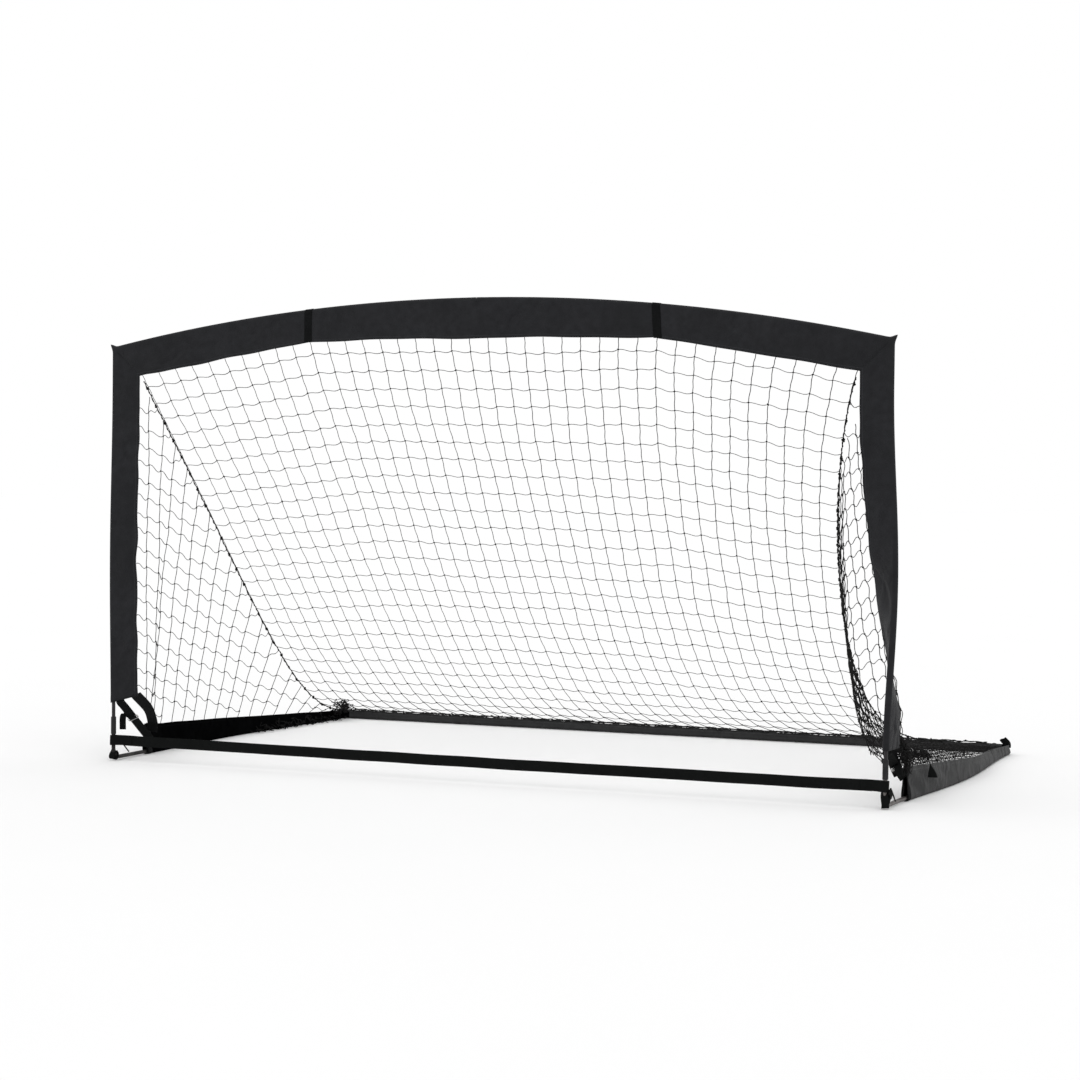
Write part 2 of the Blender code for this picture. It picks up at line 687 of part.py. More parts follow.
def make_crossbar_half(side, pivot, finishes):
    sign = SIDES[side]
    outer_x = HINGE_X - HINGE_BACK
    outer = rod(f"crossbar_outer_{side}",
                [(sign * x, FRONT_Y, crossbar_height(x)) for x in line(outer_x, BAND_X + GAP, 9)], POLE_RADIUS)
    add_eye(outer, (sign * HINGE_X, FRONT_Y), (sign * (HINGE_X - EYE_ROOT), FRONT_Y), hinge_height(), False)
    finish_piece(outer, finishes["plastic"], pivot)

    joint = line(BAND_X - FERRULE_HALF, BAND_X + FERRULE_HALF, 3)
    ferrule = round_shell(f"crossbar_ferrule_{side}", [(sign * x, FRONT_Y, crossbar_height(x)) for x in joint],
                          FERRULE_RADIUS, FERRULE_BORE, np.array([0.0, 1.0, 0.0]))
    finish_piece(ferrule, finishes["steel"], pivot)

    inner = rod(f"crossbar_inner_{side}",
                [(sign * x, FRONT_Y, crossbar_height(x)) for x in line(BAND_X - GAP, 0.0045, 9)], POLE_RADIUS)
    add_eye(inner, (0.0, FRONT_Y - HINGE_OFFSET), (sign * EYE_ROOT, FRONT_Y), CROWN_HEIGHT, side == "left")
    finish_piece(inner, finishes["plastic"], pivot)

    band_gap = BAND_HALF + BAND_CLEAR
    stretches = {
        "outer": line(HINGE_X - SLEEVE_GAP, BAND_X + band_gap, 7),
        "centre": line(BAND_X - band_gap, MIDDLE_GAP, 6),
    }
    down = np.array([0.0, 0.0, -1.0])
    depth = np.array([0.0, 1.0, 0.0])
    for label, stations in stretches.items():
        places = [np.array([sign * x, FRONT_Y, crossbar_height(x)]) for x in stations]
        reaches = [crossbar_height(x) - crossbar_hem(x) for x in stations]
        sleeve = fabric_sleeve(f"crossbar_sleeve_{label}_{side}", places, [down] * len(places),
                               [depth] * len(places), reaches)
        finish_piece(sleeve, finishes["fabric"], pivot)

    stations = (BAND_X - BAND_HALF, BAND_X + BAND_HALF)
    places = [np.array([sign * x, FRONT_Y, crossbar_height(x)]) for x in stations]
    reaches = [crossbar_height(x) - crossbar_hem(x) + 0.0005 for x in stations]
    band = fabric_sleeve(f"crossbar_band_{side}", places, [down] * 2, [depth] * 2, reaches,
                         radius=BAND_RADIUS, wall=BAND_WALL, edge=BAND_EDGE)
    finish_piece(band, finishes["webbing"], pivot)


def make_rear_half(side, pivot, finishes):
    sign = SIDES[side]
    outer_x = HINGE_X - HINGE_BACK
    bar = rod(f"rear_bar_{side}", [(sign * x, REAR_Y, RAIL_HEIGHT) for x in line(outer_x, 0.0045, 6)], RAIL_RADIUS)
    add_eye(bar, (sign * HINGE_X, REAR_Y), (sign * (HINGE_X - EYE_ROOT), REAR_Y), RAIL_HEIGHT, False)
    add_eye(bar, (0.0, REAR_Y + HINGE_OFFSET), (sign * EYE_ROOT, REAR_Y), RAIL_HEIGHT, side == "left")
    finish_piece(bar, finishes["steel"], pivot)

    stations = line(HINGE_X - SLEEVE_GAP, MIDDLE_GAP, 6)
    places = [np.array([sign * x, REAR_Y, RAIL_HEIGHT]) for x in stations]
    up = np.array([0.0, 0.0, 1.0])
    depth = np.array([0.0, 1.0, 0.0])
    reaches = [BASE_REAR_HEIGHT - RAIL_HEIGHT] * len(places)
    sleeve = fabric_sleeve(f"rear_bar_sleeve_{side}", places, [up] * len(places), [depth] * len(places),
                           reaches, radius=BASE_RADIUS)
    finish_piece(sleeve, finishes["fabric"], pivot)


# ---------------------------------------------------------------- net and strap


def make_back_net(net):
    """Back panel from the crossbar's hem down to the rear bar, as one thin sagging sheet."""
    steps = [0.0, 0.06, 0.13, 0.21, 0.30, 0.40, 0.50, 0.60, 0.70, 0.79, 0.87, 0.94, 0.995]
    near, far = [], []
    for t in steps:
        left = seam_point("left", t)
        right = seam_point("right", t)
        low, high = left[0] + PANEL_GAP["left"], right[0] - PANEL_GAP["right"]
        row_near, row_far = [], []
        for x in line(low, high, 13):
            share = (x - low) / (high - low)
            top_x = (HALF_WIDTH - SEAM_INSET) * (2.0 * share - 1.0)
            top = crossbar_hem(top_x) - NET_CLEAR
            z = NET_FOOT_HEIGHT + (top - NET_FOOT_HEIGHT) * net_fall(t)
            row_near.append((x, net_y(t), z))
            row_far.append((x, net_y(t) + 0.002, z + 0.0025))
        near.append(row_near)
        far.append(row_far)
    sheet = slab("back_net", np.array(near), np.array(far))
    finish_piece(sheet, net)


def make_front_strap(webbing, pivots):
    """Webbing across the mouth just above the ground, and the loop at each end that goes round a stub."""
    half_x = HALF_WIDTH - LOOP_RADIUS[0] - GAP
    points = [(x, FRONT_Y, STRAP_HEIGHT) for x in line(-half_x, half_x, 9)]
    finish_piece(flat_strip("front_strap", points, STRAP_WIDTH, STRAP_THICK, (0.0, 1.0, 0.0)), webbing)
    for side, sign in SIDES.items():
        across = np.array([1.0, 0.0, 0.0])
        up = np.array([0.0, 1.0, 0.0])
        rings = ([], [])
        for z in (STRAP_HEIGHT - STRAP_WIDTH / 2.0, STRAP_HEIGHT + STRAP_WIDTH / 2.0):
            level = np.array([sign * HALF_WIDTH, FRONT_Y, z])
            for k, radius in enumerate(LOOP_RADIUS):
                rings[k].append(circle(level, across, up, radius, 16))
        finish_piece(shell(f"front_strap_loop_{side}", *rings), webbing, pivots[f"{side}_frame"])


def main():
    clear_scene()
    finishes = {
        "fabric": Finish("black_polyester", (0.018, 0.019, 0.022), 0.75),
        "webbing": Finish("black_webbing", (0.010, 0.011, 0.011), 0.85),
        "net": Finish("net_twine", (0.012, 0.012, 0.012), 0.80),
        "cord": Finish("seam_cord", (0.012, 0.012, 0.012), 0.80),
        "elastic": Finish("elastic_cord", (0.015, 0.015, 0.015), 0.70),
        "plastic": Finish("fibreglass_pole", (0.028, 0.026, 0.028), 0.40),
        "steel": Finish("bare_steel", (0.12, 0.115, 0.11), 0.38, 0.9),
    }
    top = hinge_height()
    pivots = {
        "left_frame": None,
        "crossbar_left": pivot_empty("pivot_crossbar_left", (-HINGE_X, FRONT_Y, top)),
        "crossbar_right": pivot_empty("pivot_crown", (0.0, FRONT_Y - HINGE_OFFSET, CROWN_HEIGHT)),
        "right_frame": pivot_empty("pivot_right_frame", (HINGE_X, FRONT_Y, top)),
        "rear_left": pivot_empty("pivot_rear_left", (-HINGE_X, REAR_Y, RAIL_HEIGHT)),
        "rear_right": pivot_empty("pivot_rear_middle", (0.0, REAR_Y + HINGE_OFFSET, RAIL_HEIGHT)),
    }
    bpy.context.view_layer.update()
    for side, sign in SIDES.items():
        frame = pivots[f"{side}_frame"]
        make_side_tubes(side, finishes["steel"], finishes["plastic"], frame)
        top_pin = make_elbow(side, finishes["plastic"], frame)
        finish_piece(top_pin, finishes["steel"], frame)
        rear_pin = pin_solid(f"rear_hinge_pin_{side}", sign * HINGE_X, REAR_Y, RAIL_HEIGHT,
                             PIN_RADIUS, PIN_HALF, PIN_HEAD)
        finish_piece(rear_pin, finishes["steel"], frame)
        make_upright_sleeve(side, finishes["fabric"], frame)
        make_corner_sleeve(side, finishes["fabric"], frame)
        make_base_sleeve(side, finishes["fabric"], frame)
        make_side_webbing(side, finishes["webbing"], finishes["elastic"], frame)
        make_side_net(side, finishes["net"], finishes["cord"], frame)
        make_buckle(side, finishes["steel"], pivot_empty(f"pivot_buckle_{side}", buckle_centre(side)))
        make_crossbar_half(side, pivots[f"crossbar_{side}"], finishes)
        make_rear_half(side, pivots[f"rear_{side}"], finishes)
    crown = pin_solid("crown_hinge_pin", 0.0, FRONT_Y - HINGE_OFFSET, CROWN_HEIGHT, PIN_RADIUS, PIN_HALF, PIN_HEAD)
    finish_piece(crown, finishes["steel"], pivots["crossbar_left"])
    middle = pin_solid("rear_middle_pin", 0.0, REAR_Y + HINGE_OFFSET, RAIL_HEIGHT, PIN_RADIUS, PIN_HALF, PIN_HEAD)
    finish_piece(middle, finishes["steel"], pivots["rear_left"])
    make_back_net(finishes["net"])
    make_front_strap(finishes["webbing"], pivots)


if __name__ == "__main__":
    main()
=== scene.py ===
"""Looks of a pop-up football goal: cloth covers, webbing, knotted nets and cords round a folding frame of poles.

Metres, +Z up. The mouth faces -Y and +X is the right side seen from the mouth. Every new piece is a surface worked
out on a grid and lies in place at rest; most pieces ride on a body of the frame, and the rest are baked in place.
The frame folds sideways.
"""

from __future__ import annotations

import logging
import math
import sys
from collections.abc import Callable
from dataclasses import dataclass
from enum import Enum

import bmesh
import bpy
import numpy as np
from mathutils import Matrix, Vector

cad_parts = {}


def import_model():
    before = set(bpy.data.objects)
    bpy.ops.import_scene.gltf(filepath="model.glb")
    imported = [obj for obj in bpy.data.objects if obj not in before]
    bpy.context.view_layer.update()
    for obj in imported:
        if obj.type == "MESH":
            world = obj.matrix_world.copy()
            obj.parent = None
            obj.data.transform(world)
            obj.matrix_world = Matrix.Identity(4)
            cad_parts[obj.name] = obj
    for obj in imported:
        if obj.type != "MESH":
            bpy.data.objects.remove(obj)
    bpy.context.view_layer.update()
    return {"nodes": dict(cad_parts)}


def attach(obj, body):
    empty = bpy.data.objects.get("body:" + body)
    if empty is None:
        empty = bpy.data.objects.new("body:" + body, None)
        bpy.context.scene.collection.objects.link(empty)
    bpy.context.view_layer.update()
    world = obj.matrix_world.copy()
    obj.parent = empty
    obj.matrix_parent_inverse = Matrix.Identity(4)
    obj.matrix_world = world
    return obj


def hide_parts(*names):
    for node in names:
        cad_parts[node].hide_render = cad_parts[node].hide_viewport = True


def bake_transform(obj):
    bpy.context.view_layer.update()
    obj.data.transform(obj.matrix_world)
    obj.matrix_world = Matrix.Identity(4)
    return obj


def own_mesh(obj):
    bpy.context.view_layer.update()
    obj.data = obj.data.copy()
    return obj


LOG = logging.getLogger("goal")


class Side(Enum):
    """The two side frames, named as seen from the mouth."""

    LEFT = "left"
    RIGHT = "right"

    @property
    def sign(self) -> float:
        """-1 on the left, +1 on the right."""
        return -1.0 if self is Side.LEFT else 1.0

    @property
    def frame(self) -> str:
        """Name of the body that holds this side's poles."""
        return f"{self.value}_frame"

    @property
    def crossbar(self) -> str:
        """Name of the body of this half of the crossbar."""
        return f"crossbar_{self.value}"

    @property
    def rear(self) -> str:
        """Name of the body of this half of the rear bar."""
        return f"rear_{self.value}"


# ---------------------------------------------------------------- lines of the goal


def ease(t: np.ndarray) -> np.ndarray:
    """Smooth step from 0 to 1: 3t^2 - 2t^3 of the clamped value.

    Args:
        t: Values, clamped to 0..1.

    Returns:
        The eased values.
    """
    t = np.clip(t, 0.0, 1.0)
    return t * t * (3.0 - 2.0 * t)


def waves(u: np.ndarray, v: np.ndarray, seed: int) -> np.ndarray:
    """Smooth, seeded unevenness between about -1 and 1: a sum of six sine waves of mixed direction and length.

    Args:
        u: First coordinate, in units of the wanted wave length.
        v: Second coordinate, in the same units.
        seed: Picks the directions and phases.

    Returns:
        One value for each place.
    """
    rng = np.random.default_rng(seed)
    angle, phase = rng.uniform(0.0, math.tau, 6), rng.uniform(0.0, math.tau, 6)
    rate = math.tau * rng.uniform(0.55, 1.9, 6)
    turns = u[..., None] * rate * np.cos(angle) + v[..., None] * rate * np.sin(angle)
    return np.sin(turns + phase).sum(-1) / 3.2


def unit(vectors: np.ndarray) -> np.ndarray:
    """Vectors of length 1 along the last axis."""
    return vectors / np.maximum(np.linalg.norm(vectors, axis=-1, keepdims=True), 1e-12)


def curve_through(points: list[tuple[float, float, float]], count: int) -> np.ndarray:
    """A smooth path through points: Catmull-Rom pieces, evened out by length.

    Args:
        points: Places the path passes through.
        count: Number of points in the result.

    Returns:
        Array of count places.
    """
    p = np.asarray(points, float)
    p = np.vstack([2.0 * p[0] - p[1], p, 2.0 * p[-1] - p[-2]])
    s = np.linspace(0.0, len(p) - 3 - 1e-9, 24 * (len(p) - 3))
    i = s.astype(int)
    t = (s - i)[:, None]
    a, b, c, d = p[i], p[i + 1], p[i + 2], p[i + 3]
    fine = 0.5 * (2 * b + (c - a) * t + (2 * a - 5 * b + 4 * c - d) * t**2 + (3 * b - a - 3 * c + d) * t**3)
    run = np.concatenate([[0.0], np.cumsum(np.linalg.norm(np.diff(fine, axis=0), axis=1))])
    at = np.linspace(0.0, run[-1], count)
    return np.stack([np.interp(at, run, fine[:, k]) for k in range(3)], axis=1)


@dataclass(frozen=True)
class GoalLines:
    """Driving sizes of the goal and the curves that its poles, hems and seams follow."""

    half_width: float = 1.200
    front: float = -0.750
    rear: float = 0.750
    crown: float = 1.368
    rise: float = 0.127
    band_x: float = 0.5405
    hinge_x: float = 1.150
    bow: tuple[float, float] = (0.006, 0.018)
    bow_span: tuple[float, float] = (0.100, 1.122)
    rail_bow: float = 0.035
    rail_span: tuple[float, float] = (-0.722, 0.720)
    rail_z: float = 0.0085
    corner_bend: float = 0.030
    cover_radius: float = 0.0092
    cover_edge: float = 0.0025
    cover_reach: float = 0.085
    cover_bottom: tuple[float, float] = (0.192, 0.156)
    cover_skew: tuple[float, float] = (0.026, 0.0)
    twist: tuple[float, float] = (0.0, math.radians(98.0))
    twist_top: float = 1.05
    twist_span: float = 0.80
    twist_power: float = 1.75
    base_front: float = 0.190
    base_high: float = 0.093
    base_low: float = 0.030
    net_foot: float = 0.036
    net_depth: float = 1.481
    seam_bow: float = 0.689

    def crossbar_z(self, x: np.ndarray) -> np.ndarray:
        """Height of the crossbar pole's middle line: a shallow parabola."""
        return self.crown - self.rise * (x / self.half_width) ** 2

    def hem_z(self, x: np.ndarray) -> np.ndarray:
        """Height of the crossbar cover's lower edge: nearly level between the bands, sloping outside them."""
        x = np.abs(x)
        return np.where(x < self.band_x, 1.262 - 0.005 * (x / self.band_x) ** 2, 1.257 - 0.166 * (x - self.band_x))

    def upright_x(self, side: Side, z: np.ndarray) -> np.ndarray:
        """Place of an upright's middle line: it bows outwards as the square of a half sine."""
        low, high = self.bow_span
        share = np.clip((z - low) / (high - low), 0.0, 1.0)
        bow = self.bow[side is Side.RIGHT]
        return side.sign * (self.half_width + bow * np.sin(math.pi * share) ** 2)

    def rail_x(self, side: Side, y: np.ndarray) -> np.ndarray:
        """Place of a ground rail's middle line: it bows outwards as the square of a half sine."""
        low, high = self.rail_span
        share = np.clip((y - low) / (high - low), 0.0, 1.0)
        return side.sign * (self.half_width + self.rail_bow * np.sin(math.pi * share) ** 2)

    def cover_twist(self, side: Side, z: np.ndarray) -> np.ndarray:
        """Turn of an upright's cover about its pole, nothing at the top and all of it at the foot."""
        share = np.clip((self.twist_top - z) / self.twist_span, 0.0, 1.0)
        return self.twist[side is Side.RIGHT] * share**self.twist_power

    def base_z(self, y: np.ndarray) -> np.ndarray:
        """Height of a ground cover's upper edge: it tapers from the front to the rear corner."""
        start = self.front + self.base_front
        share = np.clip((y - start) / (self.rear - start), 0.0, 1.0)
        return self.base_low + (self.base_high - self.base_low) * (1.0 - share) ** 1.1

    def net_fall(self, t: np.ndarray) -> np.ndarray:
        """Share of the net's height left at t, 0 at the crossbar and 1 at the rear bar."""
        return np.clip(1.0 - t, 0.0, 1.0) ** (1.28 + 0.75 * t * t)

    def net_y(self, t: np.ndarray) -> np.ndarray:
        """Depth of the net at t."""
        return self.front + 0.004 + self.net_depth * t

    def seam(self, side: Side, t: np.ndarray) -> np.ndarray:
        """Cord between the back net and a side net: the right one is slack and bows inwards."""
        x = self.half_width - 0.092 + 0.065 * t
        if side is Side.RIGHT:
            x = x - self.seam_bow * t**0.9 * np.clip(1.0 - t, 0.0, 1.0) ** 0.44
        top = float(self.hem_z(np.array(self.half_width - 0.092))) - 0.008
        z = self.net_foot + (top - self.net_foot) * self.net_fall(t)
        return np.stack([side.sign * x, self.net_y(t), z], axis=-1)

    def mitre(self, share: np.ndarray) -> np.ndarray:
        """Distance from the middle and height of the corner seam, from the outer corner (0) to the inner one (1).

        Args:
            share: Place across the cover.

        Returns:
            Array with |x| and z along its last axis.
        """
        x = self.half_width + self.cover_radius - share * (self.cover_radius + self.cover_reach)
        reach = self.crossbar_z(x) - self.hem_z(x)
        z = self.crossbar_z(x) + self.cover_radius - share * (reach + self.cover_radius)
        return np.stack([x, z], axis=-1)

    def hem_corner(self, side: Side) -> np.ndarray:
        """Inner corner of an upright cover's foot."""
        foot = self.cover_bottom[side is Side.RIGHT]
        twist = float(self.cover_twist(side, np.array(foot)))
        reach = self.cover_reach - 0.010
        return np.array([side.sign * (self.half_width - reach * math.cos(twist)), self.front + reach * math.sin(twist),
                         foot])

    def band_path(self, side: Side) -> np.ndarray:
        """Middle line of the curved band from the upright cover's inner corner to the front of the ground cover."""
        corner = self.hem_corner(side)
        end = np.array([side.sign * (self.half_width - 0.014), self.front + self.base_front + 0.006, 0.070])
        knee = np.array([side.sign * (self.half_width - 0.024), end[1] - 0.014, 0.100])
        middle = 0.5 * corner + 0.5 * knee + np.array([side.sign * -0.012, 0.004, 0.006])
        start = corner + np.array([0.0, 0.004, 0.010])
        return curve_through([tuple(start), tuple(middle), tuple(knee), tuple(end)], 40)

    def hinge(self, side: Side) -> np.ndarray:
        """Place of the fold hinge at a top corner."""
        return np.array([side.sign * self.hinge_x, self.front, float(self.crossbar_z(np.array(self.hinge_x)))])


# ---------------------------------------------------------------- meshes from grids


def mesh_object(name: str, vertices: np.ndarray, faces: list[list[int]], uv: np.ndarray) -> bpy.types.Object:
    """A mesh object in place, with a UV map in metres.

    Args:
        name: Name of the piece.
        vertices: Places, one row each.
        faces: Corner numbers of each face.
        uv: UV place of each face corner, in the order of faces.

    Returns:
        The object, linked to the scene, with faces that point outwards.
    """
    mesh = bpy.data.meshes.new(name)
    mesh.from_pydata(vertices.tolist(), [], faces)
    layer = mesh.uv_layers.new(name="cloth_metres")
    layer.data.foreach_set("uv", np.asarray(uv, np.float32).ravel())
    work = bmesh.new()
    work.from_mesh(mesh)
    bmesh.ops.remove_doubles(work, verts=work.verts, dist=1e-6)
    bmesh.ops.recalc_face_normals(work, faces=work.faces)
    work.to_mesh(mesh)
    work.free()
    mesh.shade_smooth()
    obj = bpy.data.objects.new(name, mesh)
    bpy.context.scene.collection.objects.link(obj)
    return obj


def running_length(grid: np.ndarray, closed: bool) -> np.ndarray:
    """Mean length run along a grid's first axis, with one more entry where the grid closes on itself."""
    wrapped = np.concatenate([grid, grid[:1]]) if closed else grid
    steps = np.linalg.norm(np.diff(wrapped, axis=0), axis=-1).mean(axis=1)
    return np.concatenate([[0.0], np.cumsum(steps)])


def grid_object(name: str, grid: np.ndarray, ring: bool = False, loop: bool = False, capped: bool = False,
                along: np.ndarray | None = None, round_: np.ndarray | None = None) -> bpy.types.Object:
    """A piece from a grid of places: quads between neighbours, and flat ends where it is capped.

    Args:
        name: Name of the piece.
        grid: Places, rows by columns.
        ring: The columns close on themselves.
        loop: The rows close on themselves.
        capped: Both ends of a ring are filled.
        along: UV value of each row, from the mean length if left out.
        round_: UV value of each column, from the mean length if left out.

    Returns:
        The object.
    """
    rows, columns = grid.shape[:2]
    along = running_length(grid, loop) if along is None else along
    round_ = running_length(grid.transpose(1, 0, 2), ring) if round_ is None else round_
    r, c = np.meshgrid(np.arange(rows if loop else rows - 1), np.arange(columns if ring else columns - 1),
                       indexing="ij")
    r, c = r.ravel(), c.ravel()
    down, right = (r + 1) % rows, (c + 1) % columns
    quads = np.stack([r * columns + c, r * columns + right, down * columns + right, down * columns + c], axis=1)
    uv = np.stack([np.stack([along[r + i], round_[c + k]], axis=1) for i, k in ((0, 0), (0, 1), (1, 1), (1, 0))],
                  axis=1)
    faces = quads.tolist()
    corners = [uv.reshape(-1, 2)]
    if capped:
        for row in (0, rows - 1):
            faces.append((row * columns + np.arange(columns)).tolist())
            corners.append(np.stack([np.full(columns, along[row]), round_[:columns]], axis=1))
    return mesh_object(name, grid.reshape(-1, 3), faces, np.concatenate(corners))


def tube_grid(path: np.ndarray, radius: np.ndarray | float, sides: int, reference: np.ndarray) -> np.ndarray:
    """Rings round a path: place + radius * (cos a * across + sin a * up), across being at right angles to reference.

    Args:
        path: Places along the path.
        radius: One radius, or one for each place.
        sides: Number of sides.
        reference: A direction that the path never takes.

    Returns:
        Grid of places by sides.
    """
    tangent = unit(np.gradient(path, axis=0))
    across = unit(np.cross(tangent, reference))
    up = np.cross(across, tangent)
    angle = math.tau * np.arange(sides) / sides
    size = np.broadcast_to(np.asarray(radius, float), len(path))[:, None, None]
    ring = np.cos(angle)[None, :, None] * across[:, None] + np.sin(angle)[None, :, None] * up[:, None]
    return path[:, None] + size * ring


def tube_object(name: str, paths: list[np.ndarray], radius: float, sides: int, reference: np.ndarray,
                knots: np.ndarray | None = None, knot_size: float = 0.0) -> bpy.types.Object:
    """Many thin round strands in one piece, with a small knot at each given place.

    A strand is a closed tube. A knot is an eight-sided diamond with its edges rounded by smooth shading.

    Args:
        name: Name of the piece.
        paths: Places along each strand.
        radius: Radius of every strand.
        sides: Number of sides.
        reference: A direction that no strand takes.
        knots: Middle of each knot.
        knot_size: Half the size of a knot.

    Returns:
        The object.
    """
    vertices, faces, corners, start = [], [], [], 0
    for path in paths:
        grid = tube_grid(path, radius, sides, reference)
        rows = len(path)
        run = running_length(grid, False)
        r, c = np.meshgrid(np.arange(rows - 1), np.arange(sides), indexing="ij")
        r, c = r.ravel(), c.ravel()
        right = (c + 1) % sides
        quads = np.stack([r * sides + c, r * sides + right, (r + 1) * sides + right, (r + 1) * sides + c], axis=1)
        faces += (quads + start).tolist()
        faces += [(start + np.arange(sides)).tolist(), (start + (rows - 1) * sides + np.arange(sides)).tolist()]
        uv = [np.stack([run[r + i], (c + k) / sides], axis=1) for i, k in ((0, 0), (0, 1), (1, 1), (1, 0))]
        corners += [np.stack(uv, axis=1).reshape(-1, 2), np.zeros((2 * sides, 2))]
        vertices.append(grid.reshape(-1, 3))
        start += rows * sides
    if knots is not None and len(knots):
        template, shape = knot_shape()
        turn = waves(knots[:, 0] * 31.0, knots[:, 2] * 29.0, 5) * 1.3
        spin = np.stack([np.stack([np.cos(turn), 0 * turn, np.sin(turn)], 1), np.tile([0.0, 1.0, 0.0], (len(turn), 1)),
                         np.stack([-np.sin(turn), 0 * turn, np.cos(turn)], 1)], axis=1)
        size = knot_size * (1.0 + 0.18 * waves(knots[:, 1] * 23.0, knots[:, 2] * 37.0, 9))
        places = knots[:, None] + size[:, None, None] * np.einsum("vi,nij->nvj", template, spin)
        vertices.append(places.reshape(-1, 3))
        numbers = start + np.arange(len(knots))[:, None, None] * len(template) + shape[None]
        faces += numbers.reshape(-1, 3).tolist()
        corners.append(np.tile([[0.0, 0.0], [0.002, 0.3], [0.001, 0.6]], (numbers.shape[0] * numbers.shape[1], 1)))
    return mesh_object(name, np.concatenate(vertices), faces, np.concatenate(corners))


def knot_shape() -> tuple[np.ndarray, np.ndarray]:
    """A knot of two half hitches, as an octahedron split once: 18 places and 32 faces, squeezed at its waist.

    Returns:
        The places and the faces.
    """
    base = np.array([[1, 0, 0], [-1, 0, 0], [0, 1, 0], [0, -1, 0], [0, 0, 1], [0, 0, -1]], float)
    faces = [(0, 2, 4), (2, 1, 4), (1, 3, 4), (3, 0, 4), (2, 0, 5), (1, 2, 5), (3, 1, 5), (0, 3, 5)]
    pairs = sorted({tuple(sorted(p)) for f in faces for p in ((f[0], f[1]), (f[1], f[2]), (f[2], f[0]))})
    number = {pair: 6 + i for i, pair in enumerate(pairs)}
    places = np.vstack([base, unit(np.array([(base[a] + base[b]) for a, b in pairs]))])
    split = []
    for a, b, c in faces:
        ab, bc, ca = (number[tuple(sorted(p))] for p in ((a, b), (b, c), (c, a)))
        split += [(a, ab, ca), (ab, b, bc), (ca, bc, c), (ab, bc, ca)]
    places = places * np.array([1.25, 0.80, 0.95])
    places[:, 2] *= 1.0 - 0.25 * (np.abs(places[:, 0]) < 0.3)
    return places, np.array(split)


def strap_grid(path: np.ndarray, across: np.ndarray, width: float, thick: float, closed: bool = False) -> np.ndarray:
    """Flat webbing along a path: a superellipse, width across and thick through, whose corners are slightly round.

    Args:
        path: Places along the middle of the webbing.
        across: Direction of the width at each place.
        width: Width of the webbing.
        thick: Thickness of the webbing.
        closed: The path closes on itself.

    Returns:
        Grid of places by section points.
    """
    if closed:
        tangent = unit(np.roll(path, -1, axis=0) - np.roll(path, 1, axis=0))
    else:
        tangent = unit(np.gradient(path, axis=0))
    across = unit(across - (across * tangent).sum(-1, keepdims=True) * tangent)
    face = np.cross(tangent, across)
    angle = math.tau * (np.arange(16) + 0.5) / 16
    wide = width / 2.0 * np.sign(np.cos(angle)) * np.abs(np.cos(angle)) ** 0.22
    deep = thick / 2.0 * np.sign(np.sin(angle)) * np.abs(np.sin(angle)) ** 0.45
    return path[:, None] + wide[None, :, None] * across[:, None] + deep[None, :, None] * face[:, None]


def strap_object(name: str, path: np.ndarray, across: np.ndarray, width: float, thick: float,
                 closed: bool = False) -> bpy.types.Object:
    """A piece of webbing. The arguments are those of strap_grid, and its UV runs along and across the webbing."""
    across = np.broadcast_to(np.asarray(across, float), path.shape)
    grid = strap_grid(path, across, width, thick, closed)
    angle = math.tau * (np.arange(17) + 0.5) / 16
    over = width / 2.0 * (1.0 + np.sign(np.cos(angle)) * np.abs(np.cos(angle)) ** 0.22)
    return grid_object(name, grid, ring=True, loop=closed, capped=not closed, round_=over)


def cover_section(radius: np.ndarray, reach: np.ndarray, edge: np.ndarray) -> tuple[np.ndarray, np.ndarray]:
    """Section of a cloth cover: round at the pole, tapering along both faces to a folded edge.

    Behind the pole it is a half circle, its faces run straight to the fold, and the fold is a small half circle.

    Args:
        radius: Radius at the pole, one for each row.
        reach: Distance from the pole's middle to the folded edge.
        edge: Half the thickness at the folded edge.

    Returns:
        Distance towards the edge and height above the middle plane, rows by columns, from the fold along one face to
        the pole and back along the other.
    """
    rows = np.broadcast_arrays(*(np.atleast_1d(np.asarray(v, float)) for v in (radius, reach, edge)))
    radius, reach, edge = (v[:, None] for v in rows)
    tip = math.pi / 2.0 * np.array([1.0, 0.66, 0.33])
    face = np.linspace(1.0, 0.0, 13)
    back = math.pi / 2.0 * np.linspace(0.0, 1.0, 7)[1:]
    distance = np.concatenate([reach - edge + edge * np.sin(tip), (reach - edge) * face, -radius * np.sin(back)], 1)
    height = np.concatenate([edge * np.cos(tip), edge + (radius - edge) * (1.0 - face), radius * np.cos(back)], 1)
    height = np.broadcast_to(height, distance.shape)
    return (np.concatenate([distance, distance[:, -2:0:-1]], 1), np.concatenate([height, -height[:, -2:0:-1]], 1))


def hem_measure(distance: np.ndarray, height: np.ndarray) -> np.ndarray:
    """Cloth distance from the folded edge, counted along either face, for a section's columns and their return."""
    ring = np.stack([distance, height], axis=-1)
    ring = np.concatenate([ring, ring[:1]])
    run = np.concatenate([[0.0], np.cumsum(np.linalg.norm(np.diff(ring, axis=0), axis=1))])
    return np.minimum(run, run[-1] - run)


# ---------------------------------------------------------------- finishes


